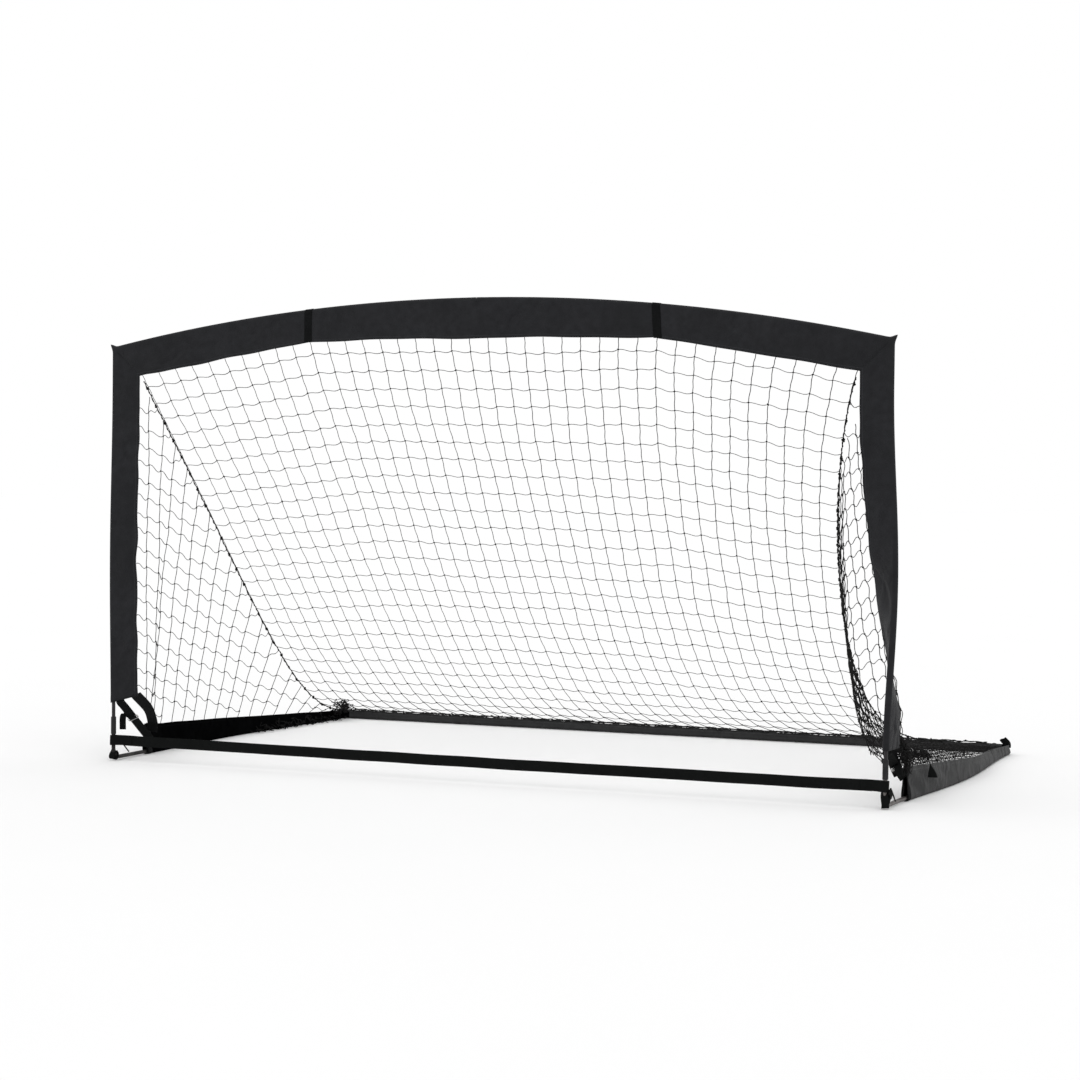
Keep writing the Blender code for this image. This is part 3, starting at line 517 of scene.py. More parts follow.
class Wiring:
    """Adds and joins the nodes of one material or node group."""

    def __init__(self, tree: bpy.types.NodeTree) -> None:
        """Args: tree: the node tree to fill."""
        self.tree = tree

    def add(self, kind: str, inputs: dict | None = None, **settings: object) -> bpy.types.Node:
        """A new node.

        Args:
            kind: Node type.
            inputs: Values, or output sockets to join, by input name or number.
            **settings: Node properties.

        Returns:
            The node.
        """
        node = self.tree.nodes.new(kind)
        for key, value in settings.items():
            setattr(node, key, value)
        for key, value in (inputs or {}).items():
            if isinstance(value, bpy.types.NodeSocket):
                self.tree.links.new(value, node.inputs[key])
            else:
                node.inputs[key].default_value = value
        return node

    def maths(self, operation: str, *values: object) -> bpy.types.NodeSocket:
        """Result of a Math node on numbers or sockets."""
        return self.add("ShaderNodeMath", dict(enumerate(values)), operation=operation).outputs[0]

    def blend_colours(self, share: object, first: object, second: object) -> bpy.types.NodeSocket:
        """Result of mixing two colours by a share."""
        node = self.add("ShaderNodeMix", {0: share, 6: first, 7: second}, data_type="RGBA")
        return node.outputs[2]

    def spread(self, value: object, low: float, high: float) -> bpy.types.NodeSocket:
        """A 0..1 value mapped to low..high."""
        node = self.add("ShaderNodeMapRange", {"Value": value, "To Min": low, "To Max": high})
        return node.outputs[0]


def effect(name: str, inputs: dict[str, tuple[str, object]], outputs: dict[str, str]) -> tuple[Wiring, object, dict]:
    """Starts a shader node group with named sockets.

    Args:
        name: Name of the effect.
        inputs: Kind and starting value of each input.
        outputs: Kind of each output.

    Returns:
        The wiring, the group's input node, and a function's worth of output sockets by name.
    """
    tree = bpy.data.node_groups.new(name, "ShaderNodeTree")
    for key, (kind, value) in inputs.items():
        socket = tree.interface.new_socket(name=key, in_out="INPUT", socket_type=f"NodeSocket{kind}")
        if value is not None:
            socket.default_value = value
    for key, kind in outputs.items():
        tree.interface.new_socket(name=key, in_out="OUTPUT", socket_type=f"NodeSocket{kind}")
    source = tree.nodes.new("NodeGroupInput")
    target = tree.nodes.new("NodeGroupOutput")
    return Wiring(tree), source, target.inputs


class Effects:
    """Shader node groups that several finishes share, each built once."""

    def __init__(self) -> None:
        """Builds every group."""
        self.weave = self._weave()
        self.mottle = self._mottle()
        self.stitches = self._stitches()
        self.twist = self._twist()
        self.scuffs = self._scuffs()

    @staticmethod
    def _weave() -> bpy.types.NodeTree:
        """Plain weave: round threads that pass over and under each other in turn."""
        w, source, target = effect("plain_weave", {"Vector": ("Vector", None), "Threads": ("Float", 1400.0)},
                                   {"Height": "Float", "Tint": "Float"})
        parts = w.add("ShaderNodeSeparateXYZ", {0: source.outputs["Vector"]})
        turns = w.maths("MULTIPLY", source.outputs["Threads"], math.pi)
        warp = w.maths("SINE", w.maths("MULTIPLY", parts.outputs[0], turns))
        weft = w.maths("SINE", w.maths("MULTIPLY", parts.outputs[1], turns))
        over = w.maths("GREATER_THAN", w.maths("MULTIPLY", warp, weft), 0.0)
        high, low = w.maths("ABSOLUTE", warp), w.maths("ABSOLUTE", weft)
        gap = w.maths("SUBTRACT", high, low)
        w.tree.links.new(w.maths("MULTIPLY_ADD", gap, over, low), target["Height"])
        slub = w.add("ShaderNodeTexNoise", {"Vector": source.outputs["Vector"], "Scale": 260.0, "Detail": 2.0})
        w.tree.links.new(slub.outputs[0], target["Tint"])
        return w.tree

    @staticmethod
    def _mottle() -> bpy.types.NodeTree:
        """Dust and handling marks: broad patches broken up by finer ones."""
        w, source, target = effect("cloth_mottle", {"Vector": ("Vector", None), "Scale": ("Float", 6.0),
                                                    "Amount": ("Float", 1.0)}, {"Mask": "Float", "Height": "Float"})
        broad = w.add("ShaderNodeTexNoise", {"Vector": source.outputs["Vector"], "Scale": source.outputs["Scale"],
                                             "Detail": 3.0, "Roughness": 0.55})
        fine_scale = w.maths("MULTIPLY", source.outputs["Scale"], 9.0)
        fine = w.add("ShaderNodeTexNoise", {"Vector": source.outputs["Vector"], "Scale": fine_scale, "Detail": 4.0})
        both = w.maths("MULTIPLY", broad.outputs[0], fine.outputs[0])
        mask = w.add("ShaderNodeMapRange", {"Value": both, "From Min": 0.16, "From Max": 0.40})
        w.tree.links.new(w.maths("MULTIPLY", mask.outputs[0], source.outputs["Amount"]), target["Mask"])
        w.tree.links.new(broad.outputs[0], target["Height"])
        return w.tree

    @staticmethod
    def _stitches() -> bpy.types.NodeTree:
        """A row of lock stitches at a set distance from the cloth's folded edge."""
        w, source, target = effect("stitch_row", {"Vector": ("Vector", None), "Distance": ("Float", 0.009),
                                                  "Pitch": ("Float", 0.0045)}, {"Mask": "Float", "Dip": "Float"})
        parts = w.add("ShaderNodeSeparateXYZ", {0: source.outputs["Vector"]})
        off = w.maths("ABSOLUTE", w.maths("SUBTRACT", parts.outputs[1], source.outputs["Distance"]))
        line = w.maths("LESS_THAN", off, 0.00045)
        share = w.maths("FRACT", w.maths("DIVIDE", parts.outputs[0], source.outputs["Pitch"]))
        dash = w.maths("LESS_THAN", share, 0.72)
        w.tree.links.new(w.maths("MULTIPLY", line, dash), target["Mask"])
        dip = w.add("ShaderNodeMapRange", {"Value": off, "From Max": 0.0022}, interpolation_type="SMOOTHSTEP")
        w.tree.links.new(dip.outputs[0], target["Dip"])
        return w.tree

    @staticmethod
    def _twist() -> bpy.types.NodeTree:
        """Plies of a twisted or braided strand, slanting round it."""
        w, source, target = effect("ply_twist", {"Vector": ("Vector", None), "Pitch": ("Float", 0.006),
                                                 "Plies": ("Float", 3.0)}, {"Height": "Float", "Tint": "Float"})
        parts = w.add("ShaderNodeSeparateXYZ", {0: source.outputs["Vector"]})
        run = w.maths("DIVIDE", parts.outputs[0], source.outputs["Pitch"])
        round_ = w.maths("MULTIPLY", parts.outputs[1], source.outputs["Plies"])
        turn = w.maths("MULTIPLY", w.maths("ADD", run, round_), math.tau)
        w.tree.links.new(w.maths("ABSOLUTE", w.maths("SINE", turn)), target["Height"])
        fuzz = w.add("ShaderNodeTexNoise", {"Vector": source.outputs["Vector"], "Scale": 90.0, "Detail": 3.0})
        w.tree.links.new(fuzz.outputs[0], target["Tint"])
        return w.tree

    @staticmethod
    def _scuffs() -> bpy.types.NodeTree:
        """Rubbed places and scratches on a tube, with fine pits between them."""
        w, source, target = effect("tube_scuffs", {"Vector": ("Vector", None), "Scale": ("Float", 30.0),
                                                   "Amount": ("Float", 0.5)}, {"Mask": "Float", "Height": "Float"})
        patches = w.add("ShaderNodeTexNoise", {"Vector": source.outputs["Vector"], "Scale": source.outputs["Scale"],
                                               "Detail": 6.0, "Roughness": 0.7})
        cells = w.add("ShaderNodeTexVoronoi", {"Vector": source.outputs["Vector"], "Scale": 900.0})
        rubbed = w.add("ShaderNodeMapRange", {"Value": patches.outputs[0], "From Min": 0.48, "From Max": 0.62})
        w.tree.links.new(w.maths("MULTIPLY", rubbed.outputs[0], source.outputs["Amount"]), target["Mask"])
        w.tree.links.new(w.maths("MULTIPLY", cells.outputs[0], patches.outputs[0]), target["Height"])
        return w.tree

    def place(self, w: Wiring, group: bpy.types.NodeTree, inputs: dict) -> bpy.types.Node:
        """Puts one of the groups into a material with its own values."""
        node = w.add("ShaderNodeGroup", node_tree=group)
        for key, value in inputs.items():
            if isinstance(value, bpy.types.NodeSocket):
                w.tree.links.new(value, node.inputs[key])
            else:
                node.inputs[key].default_value = value
        return node


Colour = tuple[float, float, float]


def start_material(name: str) -> tuple[bpy.types.Material, Wiring, bpy.types.Node]:
    """A new node material, its wiring and its Principled shader."""
    material = bpy.data.materials.new(name)
    material.use_nodes = True
    return material, Wiring(material.node_tree), material.node_tree.nodes["Principled BSDF"]


@dataclass(frozen=True)
class ClothFinish:
    """Coated polyester: plain weave, a stitched hem, soft creases and a little dust."""

    name: str
    colour: Colour
    dusty: Colour
    slot: str = "fabric"
    threads: float = 1500.0
    roughness: float = 0.62
    specular: float = 0.14
    hem: float = 0.0095
    sheen: float = 0.03

    def build(self, effects: Effects) -> bpy.types.Material:
        """The finish as a material on the cloth's own UV map, whose second value is the distance from the hem."""
        material, w, shader = start_material(self.name)
        place = w.add("ShaderNodeUVMap", uv_map="cloth_metres").outputs[0]
        solid = w.add("ShaderNodeTexCoord").outputs["Object"]
        weave = effects.place(w, effects.weave, {"Vector": place, "Threads": self.threads})
        mottle = effects.place(w, effects.mottle, {"Vector": solid, "Scale": 5.0, "Amount": 0.75})
        stitch = effects.place(w, effects.stitches, {"Vector": place, "Distance": self.hem})
        dark, dust = (*self.colour, 1.0), (*self.dusty, 1.0)
        thread = tuple(min(1.0, c * 1.9) for c in self.dusty)
        base = w.blend_colours(mottle.outputs["Mask"], dark, dust)
        base = w.blend_colours(w.maths("MULTIPLY", weave.outputs["Tint"], 0.35), base, dust)
        base = w.blend_colours(stitch.outputs["Mask"], base, (*thread, 1.0))
        w.tree.links.new(base, shader.inputs["Base Color"])
        w.tree.links.new(w.spread(mottle.outputs["Mask"], self.roughness, self.roughness + 0.16),
                         shader.inputs["Roughness"])
        crease = w.add("ShaderNodeTexNoise", {"Vector": solid, "Scale": 9.0, "Detail": 2.5, "Distortion": 0.9})
        soft = w.add("ShaderNodeBump", {"Height": crease.outputs[0], "Strength": 1.0, "Distance": 0.022})
        seam = w.add("ShaderNodeBump", {"Height": stitch.outputs["Dip"], "Strength": 0.6, "Distance": 0.0009,
                                        "Normal": soft.outputs[0]})
        fine = w.add("ShaderNodeBump", {"Height": weave.outputs["Height"], "Strength": 0.45, "Distance": 0.00018,
                                        "Normal": seam.outputs[0]})
        w.tree.links.new(fine.outputs[0], shader.inputs["Normal"])
        shader.inputs["Specular IOR Level"].default_value = self.specular
        shader.inputs["Sheen Weight"].default_value = self.sheen
        shader.inputs["Sheen Roughness"].default_value = 0.5
        return material


@dataclass(frozen=True)
class WebbingFinish:
    """Woven strap: ribs across it in a herringbone, and fuzz."""

    name: str
    colour: Colour
    light: Colour
    slot: str = "webbing"
    rib: float = 0.0021
    roughness: float = 0.78

    def build(self, effects: Effects) -> bpy.types.Material:
        """The finish as a material on the strap's own UV map: along it, then across it."""
        material, w, shader = start_material(self.name)
        place = w.add("ShaderNodeUVMap", uv_map="cloth_metres").outputs[0]
        solid = w.add("ShaderNodeTexCoord").outputs["Object"]
        parts = w.add("ShaderNodeSeparateXYZ", {0: place})
        zigzag = w.maths("PINGPONG", parts.outputs[1], 0.0026)
        slant = w.maths("DIVIDE", w.maths("ADD", parts.outputs[0], zigzag), self.rib)
        ribs = w.maths("ABSOLUTE", w.maths("SINE", w.maths("MULTIPLY", slant, math.pi)))
        mottle = effects.place(w, effects.mottle, {"Vector": solid, "Scale": 18.0, "Amount": 0.6})
        weave = effects.place(w, effects.weave, {"Vector": place, "Threads": 1100.0})
        base = w.blend_colours(w.maths("MULTIPLY", ribs, 0.55), (*self.colour, 1.0), (*self.light, 1.0))
        base = w.blend_colours(mottle.outputs["Mask"], base, (*self.light, 1.0))
        w.tree.links.new(base, shader.inputs["Base Color"])
        w.tree.links.new(w.spread(weave.outputs["Tint"], self.roughness - 0.08, self.roughness + 0.10),
                         shader.inputs["Roughness"])
        height = w.maths("ADD", ribs, w.maths("MULTIPLY", weave.outputs["Height"], 0.3))
        bump = w.add("ShaderNodeBump", {"Height": height, "Strength": 0.7, "Distance": 0.0004})
        w.tree.links.new(bump.outputs[0], shader.inputs["Normal"])
        shader.inputs["Specular IOR Level"].default_value = 0.05
        shader.inputs["Sheen Weight"].default_value = 0.01
        return material


@dataclass(frozen=True)
class CordFinish:
    """Twisted twine or braided cord, a little furry."""

    name: str
    colour: Colour
    light: Colour
    slot: str
    pitch: float
    plies: float
    roughness: float = 0.72

    def build(self, effects: Effects) -> bpy.types.Material:
        """The finish as a material on the strand's own UV map: along it, then round it."""
        material, w, shader = start_material(self.name)
        place = w.add("ShaderNodeUVMap", uv_map="cloth_metres").outputs[0]
        solid = w.add("ShaderNodeTexCoord").outputs["Object"]
        twist = effects.place(w, effects.twist, {"Vector": place, "Pitch": self.pitch, "Plies": self.plies})
        mottle = effects.place(w, effects.mottle, {"Vector": solid, "Scale": 9.0, "Amount": 0.7})
        base = w.blend_colours(w.maths("MULTIPLY", twist.outputs["Height"], 0.6), (*self.colour, 1.0),
                               (*self.light, 1.0))
        base = w.blend_colours(w.maths("MULTIPLY", mottle.outputs["Mask"], 0.5), base, (*self.light, 1.0))
        w.tree.links.new(base, shader.inputs["Base Color"])
        w.tree.links.new(w.spread(twist.outputs["Tint"], self.roughness - 0.1, self.roughness + 0.12),
                         shader.inputs["Roughness"])
        bump = w.add("ShaderNodeBump", {"Height": twist.outputs["Height"], "Strength": 0.8, "Distance": 0.0003})
        w.tree.links.new(bump.outputs[0], shader.inputs["Normal"])
        shader.inputs["Specular IOR Level"].default_value = 0.10
        return material


@dataclass(frozen=True)
class TubeFinish:
    """Pole, rail or fitting: drawn steel, glass fibre or moulded plastic, with rubbed places and fine pits."""

    name: str
    colour: Colour
    rubbed: Colour
    slot: str
    metallic: float
    roughness: float
    scuffed: float = 0.6

    def build(self, effects: Effects) -> bpy.types.Material:
        """The finish as a material on Object coordinates."""
        material, w, shader = start_material(self.name)
        solid = w.add("ShaderNodeTexCoord").outputs["Object"]
        scuffs = effects.place(w, effects.scuffs, {"Vector": solid, "Scale": 38.0, "Amount": self.scuffed})
        mottle = effects.place(w, effects.mottle, {"Vector": solid, "Scale": 22.0, "Amount": 0.8})
        base = w.blend_colours(scuffs.outputs["Mask"], (*self.colour, 1.0), (*self.rubbed, 1.0))
        dull = tuple(c * 0.55 for c in self.colour)
        base = w.blend_colours(w.maths("MULTIPLY", mottle.outputs["Mask"], 0.5), base, (*dull, 1.0))
        w.tree.links.new(base, shader.inputs["Base Color"])
        w.tree.links.new(w.spread(mottle.outputs["Mask"], self.roughness, self.roughness + 0.22),
                         shader.inputs["Roughness"])
        bump = w.add("ShaderNodeBump", {"Height": scuffs.outputs["Height"], "Strength": 0.35, "Distance": 0.0003})
        w.tree.links.new(bump.outputs[0], shader.inputs["Normal"])
        shader.inputs["Metallic"].default_value = self.metallic
        shader.inputs["Specular IOR Level"].default_value = 0.25
        return material


class Wardrobe:
    """Every finish of the goal, made once as a material."""

    CLOTH = ClothFinish("black_polyester", (0.0058, 0.0060, 0.0072), (0.0170, 0.0174, 0.0198))
    GROUND = ClothFinish("grey_black_polyester", (0.0200, 0.0202, 0.0206), (0.0330, 0.0333, 0.0338))
    # Painted shade: a darker, dull copy of the cloth for the ground covers' inward faces. It stands in for the shade
    # that falls there and is not a lining of another colour.
    INWARD_SHADE = ClothFinish("painted_shade_cloth", (0.0010, 0.0010, 0.0011), (0.0032, 0.0033, 0.0035), specular=0.0, sheen=0.0)
    WEBBING = WebbingFinish("black_webbing", (0.0022, 0.0026, 0.0025), (0.0070, 0.0076, 0.0075))
    BINDING = WebbingFinish("binding_tape", (0.0024, 0.0026, 0.0027), (0.0080, 0.0084, 0.0088), rib=0.0014)
    TWINE = CordFinish("net_twine", (0.0035, 0.0035, 0.0035), (0.0110, 0.0106, 0.0103), "net", 0.0050, 2.0)
    SEAM = CordFinish("seam_cord_braid", (0.0030, 0.0030, 0.0030), (0.0100, 0.0098, 0.0096), "seam_cord", 0.0075, 3.0)
    ELASTIC = CordFinish("elastic_braid", (0.0070, 0.0070, 0.0072), (0.0200, 0.0200, 0.0205), "elastic", 0.0022, 4.0)
    POLE = TubeFinish("glass_fibre_pole", (0.0150, 0.0132, 0.0150), (0.0400, 0.0380, 0.0400), "pole", 0.0, 0.42, 0.4)
    MOULDED = TubeFinish("moulded_fitting", (0.0080, 0.0080, 0.0086), (0.0240, 0.0240, 0.0250), "pole", 0.0, 0.50)
    STEEL = TubeFinish("drawn_steel", (0.1050, 0.0960, 0.0920), (0.2100, 0.2000, 0.1930), "steel", 0.85, 0.38)
    DARK_STEEL = TubeFinish("dark_steel", (0.0240, 0.0225, 0.0220), (0.0520, 0.0490, 0.0480), "steel", 0.6, 0.45)
    BRIGHT = TubeFinish("bright_steel", (0.6200, 0.6150, 0.6050), (0.7600, 0.7550, 0.7450), "steel", 1.0, 0.22, 0.4)

    def __init__(self) -> None:
        """Builds the shared effects and every material."""
        effects = Effects()
        finishes = (self.CLOTH, self.GROUND, self.INWARD_SHADE, self.WEBBING, self.BINDING, self.TWINE, self.SEAM,
                    self.ELASTIC, self.POLE, self.MOULDED, self.STEEL, self.DARK_STEEL, self.BRIGHT)
        self.materials = {finish.name: finish.build(effects) for finish in finishes}

    def dress(self, piece: bpy.types.Object, finish: object) -> bpy.types.Object:
        """Gives a new piece its material."""
        piece.data.materials.clear()
        piece.data.materials.append(self.materials[finish.name])
        LOG.info("piece %s: %d faces, %s", piece.name, len(piece.data.polygons), finish.name)
        return piece

    def line(self, piece: bpy.types.Object, finish: object, chosen: Callable[[np.ndarray], np.ndarray]) -> None:
        """Gives the faces of a piece that chosen picks by their normals a second material; the ground covers get
        painted shade on their inward faces this way.
        """
        normals = np.empty(len(piece.data.polygons) * 3, np.float32)
        piece.data.polygons.foreach_get("normal", normals)
        piece.data.materials.append(self.materials[finish.name])
        piece.data.polygons.foreach_set("material_index", chosen(normals.reshape(-1, 3)).astype(np.int32))

    def repaint(self, node: bpy.types.Object, finish: object) -> None:
        """Gives a frame node a better material in each of its slots."""
        for slot in node.material_slots:
            slot.material = self.materials[finish.name]


# ---------------------------------------------------------------- cloth covers


@dataclass
class Covers:
    """Cloth covers of the uprights, the crossbar, the ground rails and the rear bar."""

    lines: GoalLines
    wardrobe: Wardrobe
    ear: float = 0.010
    ear_size: float = 0.0085
    mitre_dip: float = 0.45
    mitre_dip_size: float = 0.0055
    turn_in: float = 0.014
    eye_bulge: float = 0.0078
    ground_radius: float = 0.0085
    ground_edge: float = 0.0024
    hinge_cloth: tuple[float, float] = (1.165, 1.125)
    hinge_lift: tuple[float, float] = (1.250, 1.270)

    def build(self) -> None:
        """Builds every cover."""
        for side in Side:
            self.upright(side)
            self.crossbar_outer(side)
            self.crossbar_band(side)
            self.ground(side)
            self.ground_binding(side)
        self.crossbar_centre()
        self.rear()
        self.rear_cuff()

    def ear_shift(self, x: np.ndarray, z: np.ndarray) -> np.ndarray:
        """Outward and upward pull of the small pointed ear at a top corner, fading with distance from the corner."""
        corner = self.lines.mitre(np.array(0.0))
        gap = np.hypot(x - corner[0], z - corner[1])
        return self.ear * np.exp(-((gap / self.ear_size) ** 2))

    def bend_at_top(self, piece: bpy.types.Object, side: Side) -> None:
        """Bakes the piece's transform into its mesh; the cloth at a top corner does not turn with the fold hinge."""
        if side is Side.LEFT:
            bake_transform(piece)
        else:
            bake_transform(piece)

    def puckers(self, run: np.ndarray, distance: np.ndarray, reach: np.ndarray | float, seed: int) -> np.ndarray:
        """Unevenness of a cover's face: slack waves across it and small puckers along the hem stitching.

        Args:
            run: Distance along the cover.
            distance: Distance from the pole's middle towards the hem.
            reach: Distance of the hem.
            seed: Picks the pattern.

        Returns:
            Height above the smooth face.
        """
        share = np.clip(distance / reach, 0.0, 1.0)
        slack = 0.0016 * waves(run / 0.17, distance / 0.11, seed) * np.sin(math.pi * share)
        near_hem = np.exp(-(((reach - distance - 0.0095) / 0.006) ** 2))
        pucker = 0.00045 * waves(run / 0.016, distance / 0.03, seed + 1) * near_hem
        stitched = -0.0005 * np.exp(-(((reach - distance - 0.0095) / 0.0016) ** 2))
        return slack * (share > 0.0) + pucker + stitched

    def upright(self, side: Side) -> None:
        """Cover of an upright: flat across the mouth, cut to the mitre at the top and hemmed at the foot.

        Each point is the pole's middle line + distance * way + height * normal, and the way turns about the pole.
        """
        lines = self.lines
        r, reach, edge = lines.cover_radius, lines.cover_reach, lines.cover_edge
        foot = lines.cover_bottom[side is Side.RIGHT]
        share = np.concatenate([np.linspace(0.0, 0.94, 92), np.linspace(0.945, 1.0, 16)])
        inside = np.array([self.turn_in, self.turn_in * 0.5, 0.0006])
        shrink = np.concatenate([np.full(len(inside), 0.0009), np.zeros(len(share))])
        distance, height = cover_section(r - shrink, reach - shrink, edge - shrink)
        across = (distance + r) / (reach + r)
        mitre = lines.mitre(np.clip(across, 0.0, 1.0))
        bottom = foot + lines.cover_skew[side is Side.RIGHT] * (np.clip(across, 0.0, 1.0) - 0.70)
        rows = np.concatenate([np.zeros(len(inside)), share])[:, None]
        z = bottom + rows * (mitre[..., 1] - bottom)
        z[: len(inside)] += inside[:, None]
        to_mitre = (1.0 - rows) * (mitre[..., 1] - bottom)
        dip = 1.0 - self.mitre_dip * np.exp(-((to_mitre / self.mitre_dip_size) ** 2)) * ease((distance - 0.009) / 0.01)
        puff = self.puckers(z, distance, reach, 3 + (side is Side.RIGHT) * 7) * ease(to_mitre / 0.02)
        roll = 0.0007 * np.exp(-(((z - bottom - 0.012) / 0.009) ** 2)) * (rows > 0)
        puff = puff * ease((rows - 0.002) / 0.03) + roll
        height = height * dip + np.sign(height) * puff
        hem_wave = 0.0022 * waves(z / 0.16, 0.0 * z, 11) * ease(across * 1.6 - 0.5) * ease(to_mitre / 0.12)
        distance = distance + hem_wave
        twist = lines.cover_twist(side, z)
        pole = lines.upright_x(side, z)
        x = pole - side.sign * distance * np.cos(twist) + side.sign * height * np.sin(twist)
        y = lines.front + distance * np.sin(twist) + height * np.cos(twist)
        pull = self.ear_shift(np.abs(x), z)
        grid = np.stack([x + side.sign * pull * 0.75, y, z + pull * 0.85], axis=-1)
        distance, height = cover_section(r, reach, edge)
        piece = grid_object(f"upright_cover_{side.value}", grid, ring=True, along=z.mean(axis=1),
                            round_=hem_measure(distance[0], height[0]))
        self.wardrobe.dress(piece, Wardrobe.CLOTH)
        self.bend_at_top(piece, side)
        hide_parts(f"upright_sleeve_{side.value}", f"corner_sleeve_{side.value}")

    def crossbar_grid(self, x: np.ndarray, across_shift: np.ndarray | None = None, seed: int = 21) -> np.ndarray:
        """Places of the crossbar cover for stations x, which may differ across the section.

        Args:
            x: Station of each place, rows by 1 or rows by columns, with its sign.
            across_shift: Factor on the section's height.
            seed: Picks the unevenness.

        Returns:
            Grid of places.
        """
        lines = self.lines
        mean = x.mean(axis=1)
        reach = lines.crossbar_z(mean) - lines.hem_z(mean)
        distance, height = cover_section(np.full(len(mean), lines.cover_radius), reach,
                                         np.full(len(mean), lines.cover_edge))
        share = (distance + lines.cover_radius) / (reach[:, None] + lines.cover_radius)
        x = np.broadcast_to(x, distance.shape)
        depth = share * (lines.crossbar_z(x) - lines.hem_z(x) + lines.cover_radius) - lines.cover_radius
        puff = self.puckers(x, depth, reach[:, None], seed)
        height = height * (1.0 if across_shift is None else across_shift) + np.sign(height) * puff
        front = (height < 0.0) * np.exp(-((x / 0.020) ** 2)) * np.exp(-((depth / 0.016) ** 2))
        height = height - self.eye_bulge * front
        z = lines.crossbar_z(x) - depth + 0.0018 * waves(x / 0.24, 0.0 * x, seed + 4) * ease(share * 2.0 - 1.0)
        return np.stack([x, lines.front + height, z], axis=-1)

    def crossbar_measures(self, x: np.ndarray) -> np.ndarray:
        """Distance from the hem along either face, for the section at the middle station."""
        middle = np.array([float(np.median(x))])
        reach = self.lines.crossbar_z(middle) - self.lines.hem_z(middle)
        distance, height = cover_section(self.lines.cover_radius, reach, self.lines.cover_edge)
        return hem_measure(distance[0], height[0])

    def crossbar_outer(self, side: Side) -> None:
        """Crossbar cover from the corner's mitre to the band. The first row of stations lies on the mitre."""
        lines = self.lines
        share = np.concatenate([np.linspace(0.0, 0.09, 16), np.linspace(0.10, 1.0, 52)])[:, None]
        nominal = np.full(1, lines.half_width)
        reach = lines.crossbar_z(nominal) - lines.hem_z(nominal)
        distance, _ = cover_section(lines.cover_radius, reach, lines.cover_edge)
        across = np.clip((distance + lines.cover_radius) / (reach[:, None] + lines.cover_radius), 0.0, 1.0)
        start = lines.mitre(across)[..., 0]
        x = start + share * (lines.band_x - start)
        from_mitre = share * (start - lines.band_x)
        dip = np.exp(-((from_mitre / self.mitre_dip_size) ** 2)) * ease((distance - 0.009) / 0.01)
        grid = self.crossbar_grid(side.sign * x, 1.0 - self.mitre_dip * dip, 21 + (side is Side.RIGHT) * 5)
        edge_row = self.crossbar_edge(across)
        settle = ease(from_mitre / 0.03)[..., None]
        flat = np.stack([grid[..., 0], lines.front + edge_row * (1.0 - self.mitre_dip * dip),
                         np.where(settle[..., 0] < 1.0, self.smooth_z(side.sign * x, across), grid[..., 2])], axis=-1)
        grid = flat + settle * (grid - flat)
        pull = self.ear_shift(np.abs(grid[..., 0]), grid[..., 2])
        grid = grid + np.stack([side.sign * pull * 0.75, 0.0 * pull, pull * 0.85], axis=-1)
        piece = grid_object(f"crossbar_cover_outer_{side.value}", grid, ring=True,
                            round_=self.crossbar_measures(np.array([0.85])))
        self.wardrobe.dress(piece, Wardrobe.CLOTH)
        self.bend_at_top(piece, side)
        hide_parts(f"crossbar_sleeve_outer_{side.value}")
        cut_width = float(self.crossbar_measures(np.array([0.85])).max() * 2.0)

    def crossbar_edge(self, across: np.ndarray) -> np.ndarray:
        """Half thickness along the mitre, taken from the upright cover's section so that both pieces meet."""
        lines = self.lines
        _, height = cover_section(lines.cover_radius, lines.cover_reach, lines.cover_edge)
        return np.broadcast_to(height, across.shape)

    def smooth_z(self, x: np.ndarray, across: np.ndarray) -> np.ndarray:
        """Height of the crossbar cover at a share of its width, with no unevenness."""
        lines = self.lines
        depth = across * (lines.crossbar_z(x) - lines.hem_z(x) + lines.cover_radius) - lines.cover_radius
        return lines.crossbar_z(x) - depth

    def crossbar_centre(self) -> None:
        """Crossbar cover between the bands, over the crown hinge; it is baked in place and does not fold."""
        lines = self.lines
        x = np.concatenate([np.linspace(-lines.band_x, -0.06, 30), np.linspace(-0.054, 0.054, 19),
                            np.linspace(0.06, lines.band_x, 30)])[:, None]
        piece = grid_object("crossbar_cover_centre", self.crossbar_grid(x, seed=31), ring=True,
                            round_=self.crossbar_measures(np.array([0.0])))
        self.wardrobe.dress(piece, Wardrobe.CLOTH)
        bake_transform(piece)
        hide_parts("crossbar_sleeve_centre_left", "crossbar_sleeve_centre_right")
        sewn_width = float(self.crossbar_measures(np.array([0.0])).max())

    def crossbar_band(self, side: Side) -> None:
        """Webbing sewn round the crossbar cover over the pole joint; its edges turn in to the cover."""
        lines = self.lines
        half = 0.0125
        step = np.array([-1.0, -1.0, -0.94, -0.5, 0.0, 0.5, 0.94, 1.0, 1.0])
        lift = np.array([-0.0008, 0.0006, 0.0013, 0.0013, 0.0013, 0.0013, 0.0013, 0.0006, -0.0008])
        x = side.sign * (lines.band_x + step * half)
        reach = lines.crossbar_z(x) - lines.hem_z(x)
        distance, height = cover_section(lines.cover_radius + lift, reach + lift, lines.cover_edge + lift)
        lean = 0.004 * (distance - 0.04) / 0.10
        z = lines.crossbar_z(x)[:, None] - distance
        grid = np.stack([x[:, None] + side.sign * lean, lines.front + height, z], axis=-1)
        piece = grid_object(f"crossbar_binding_{side.value}", grid, ring=True)
        self.wardrobe.dress(piece, Wardrobe.BINDING)
        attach(piece, side.crossbar)
        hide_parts(f"crossbar_band_{side.value}")

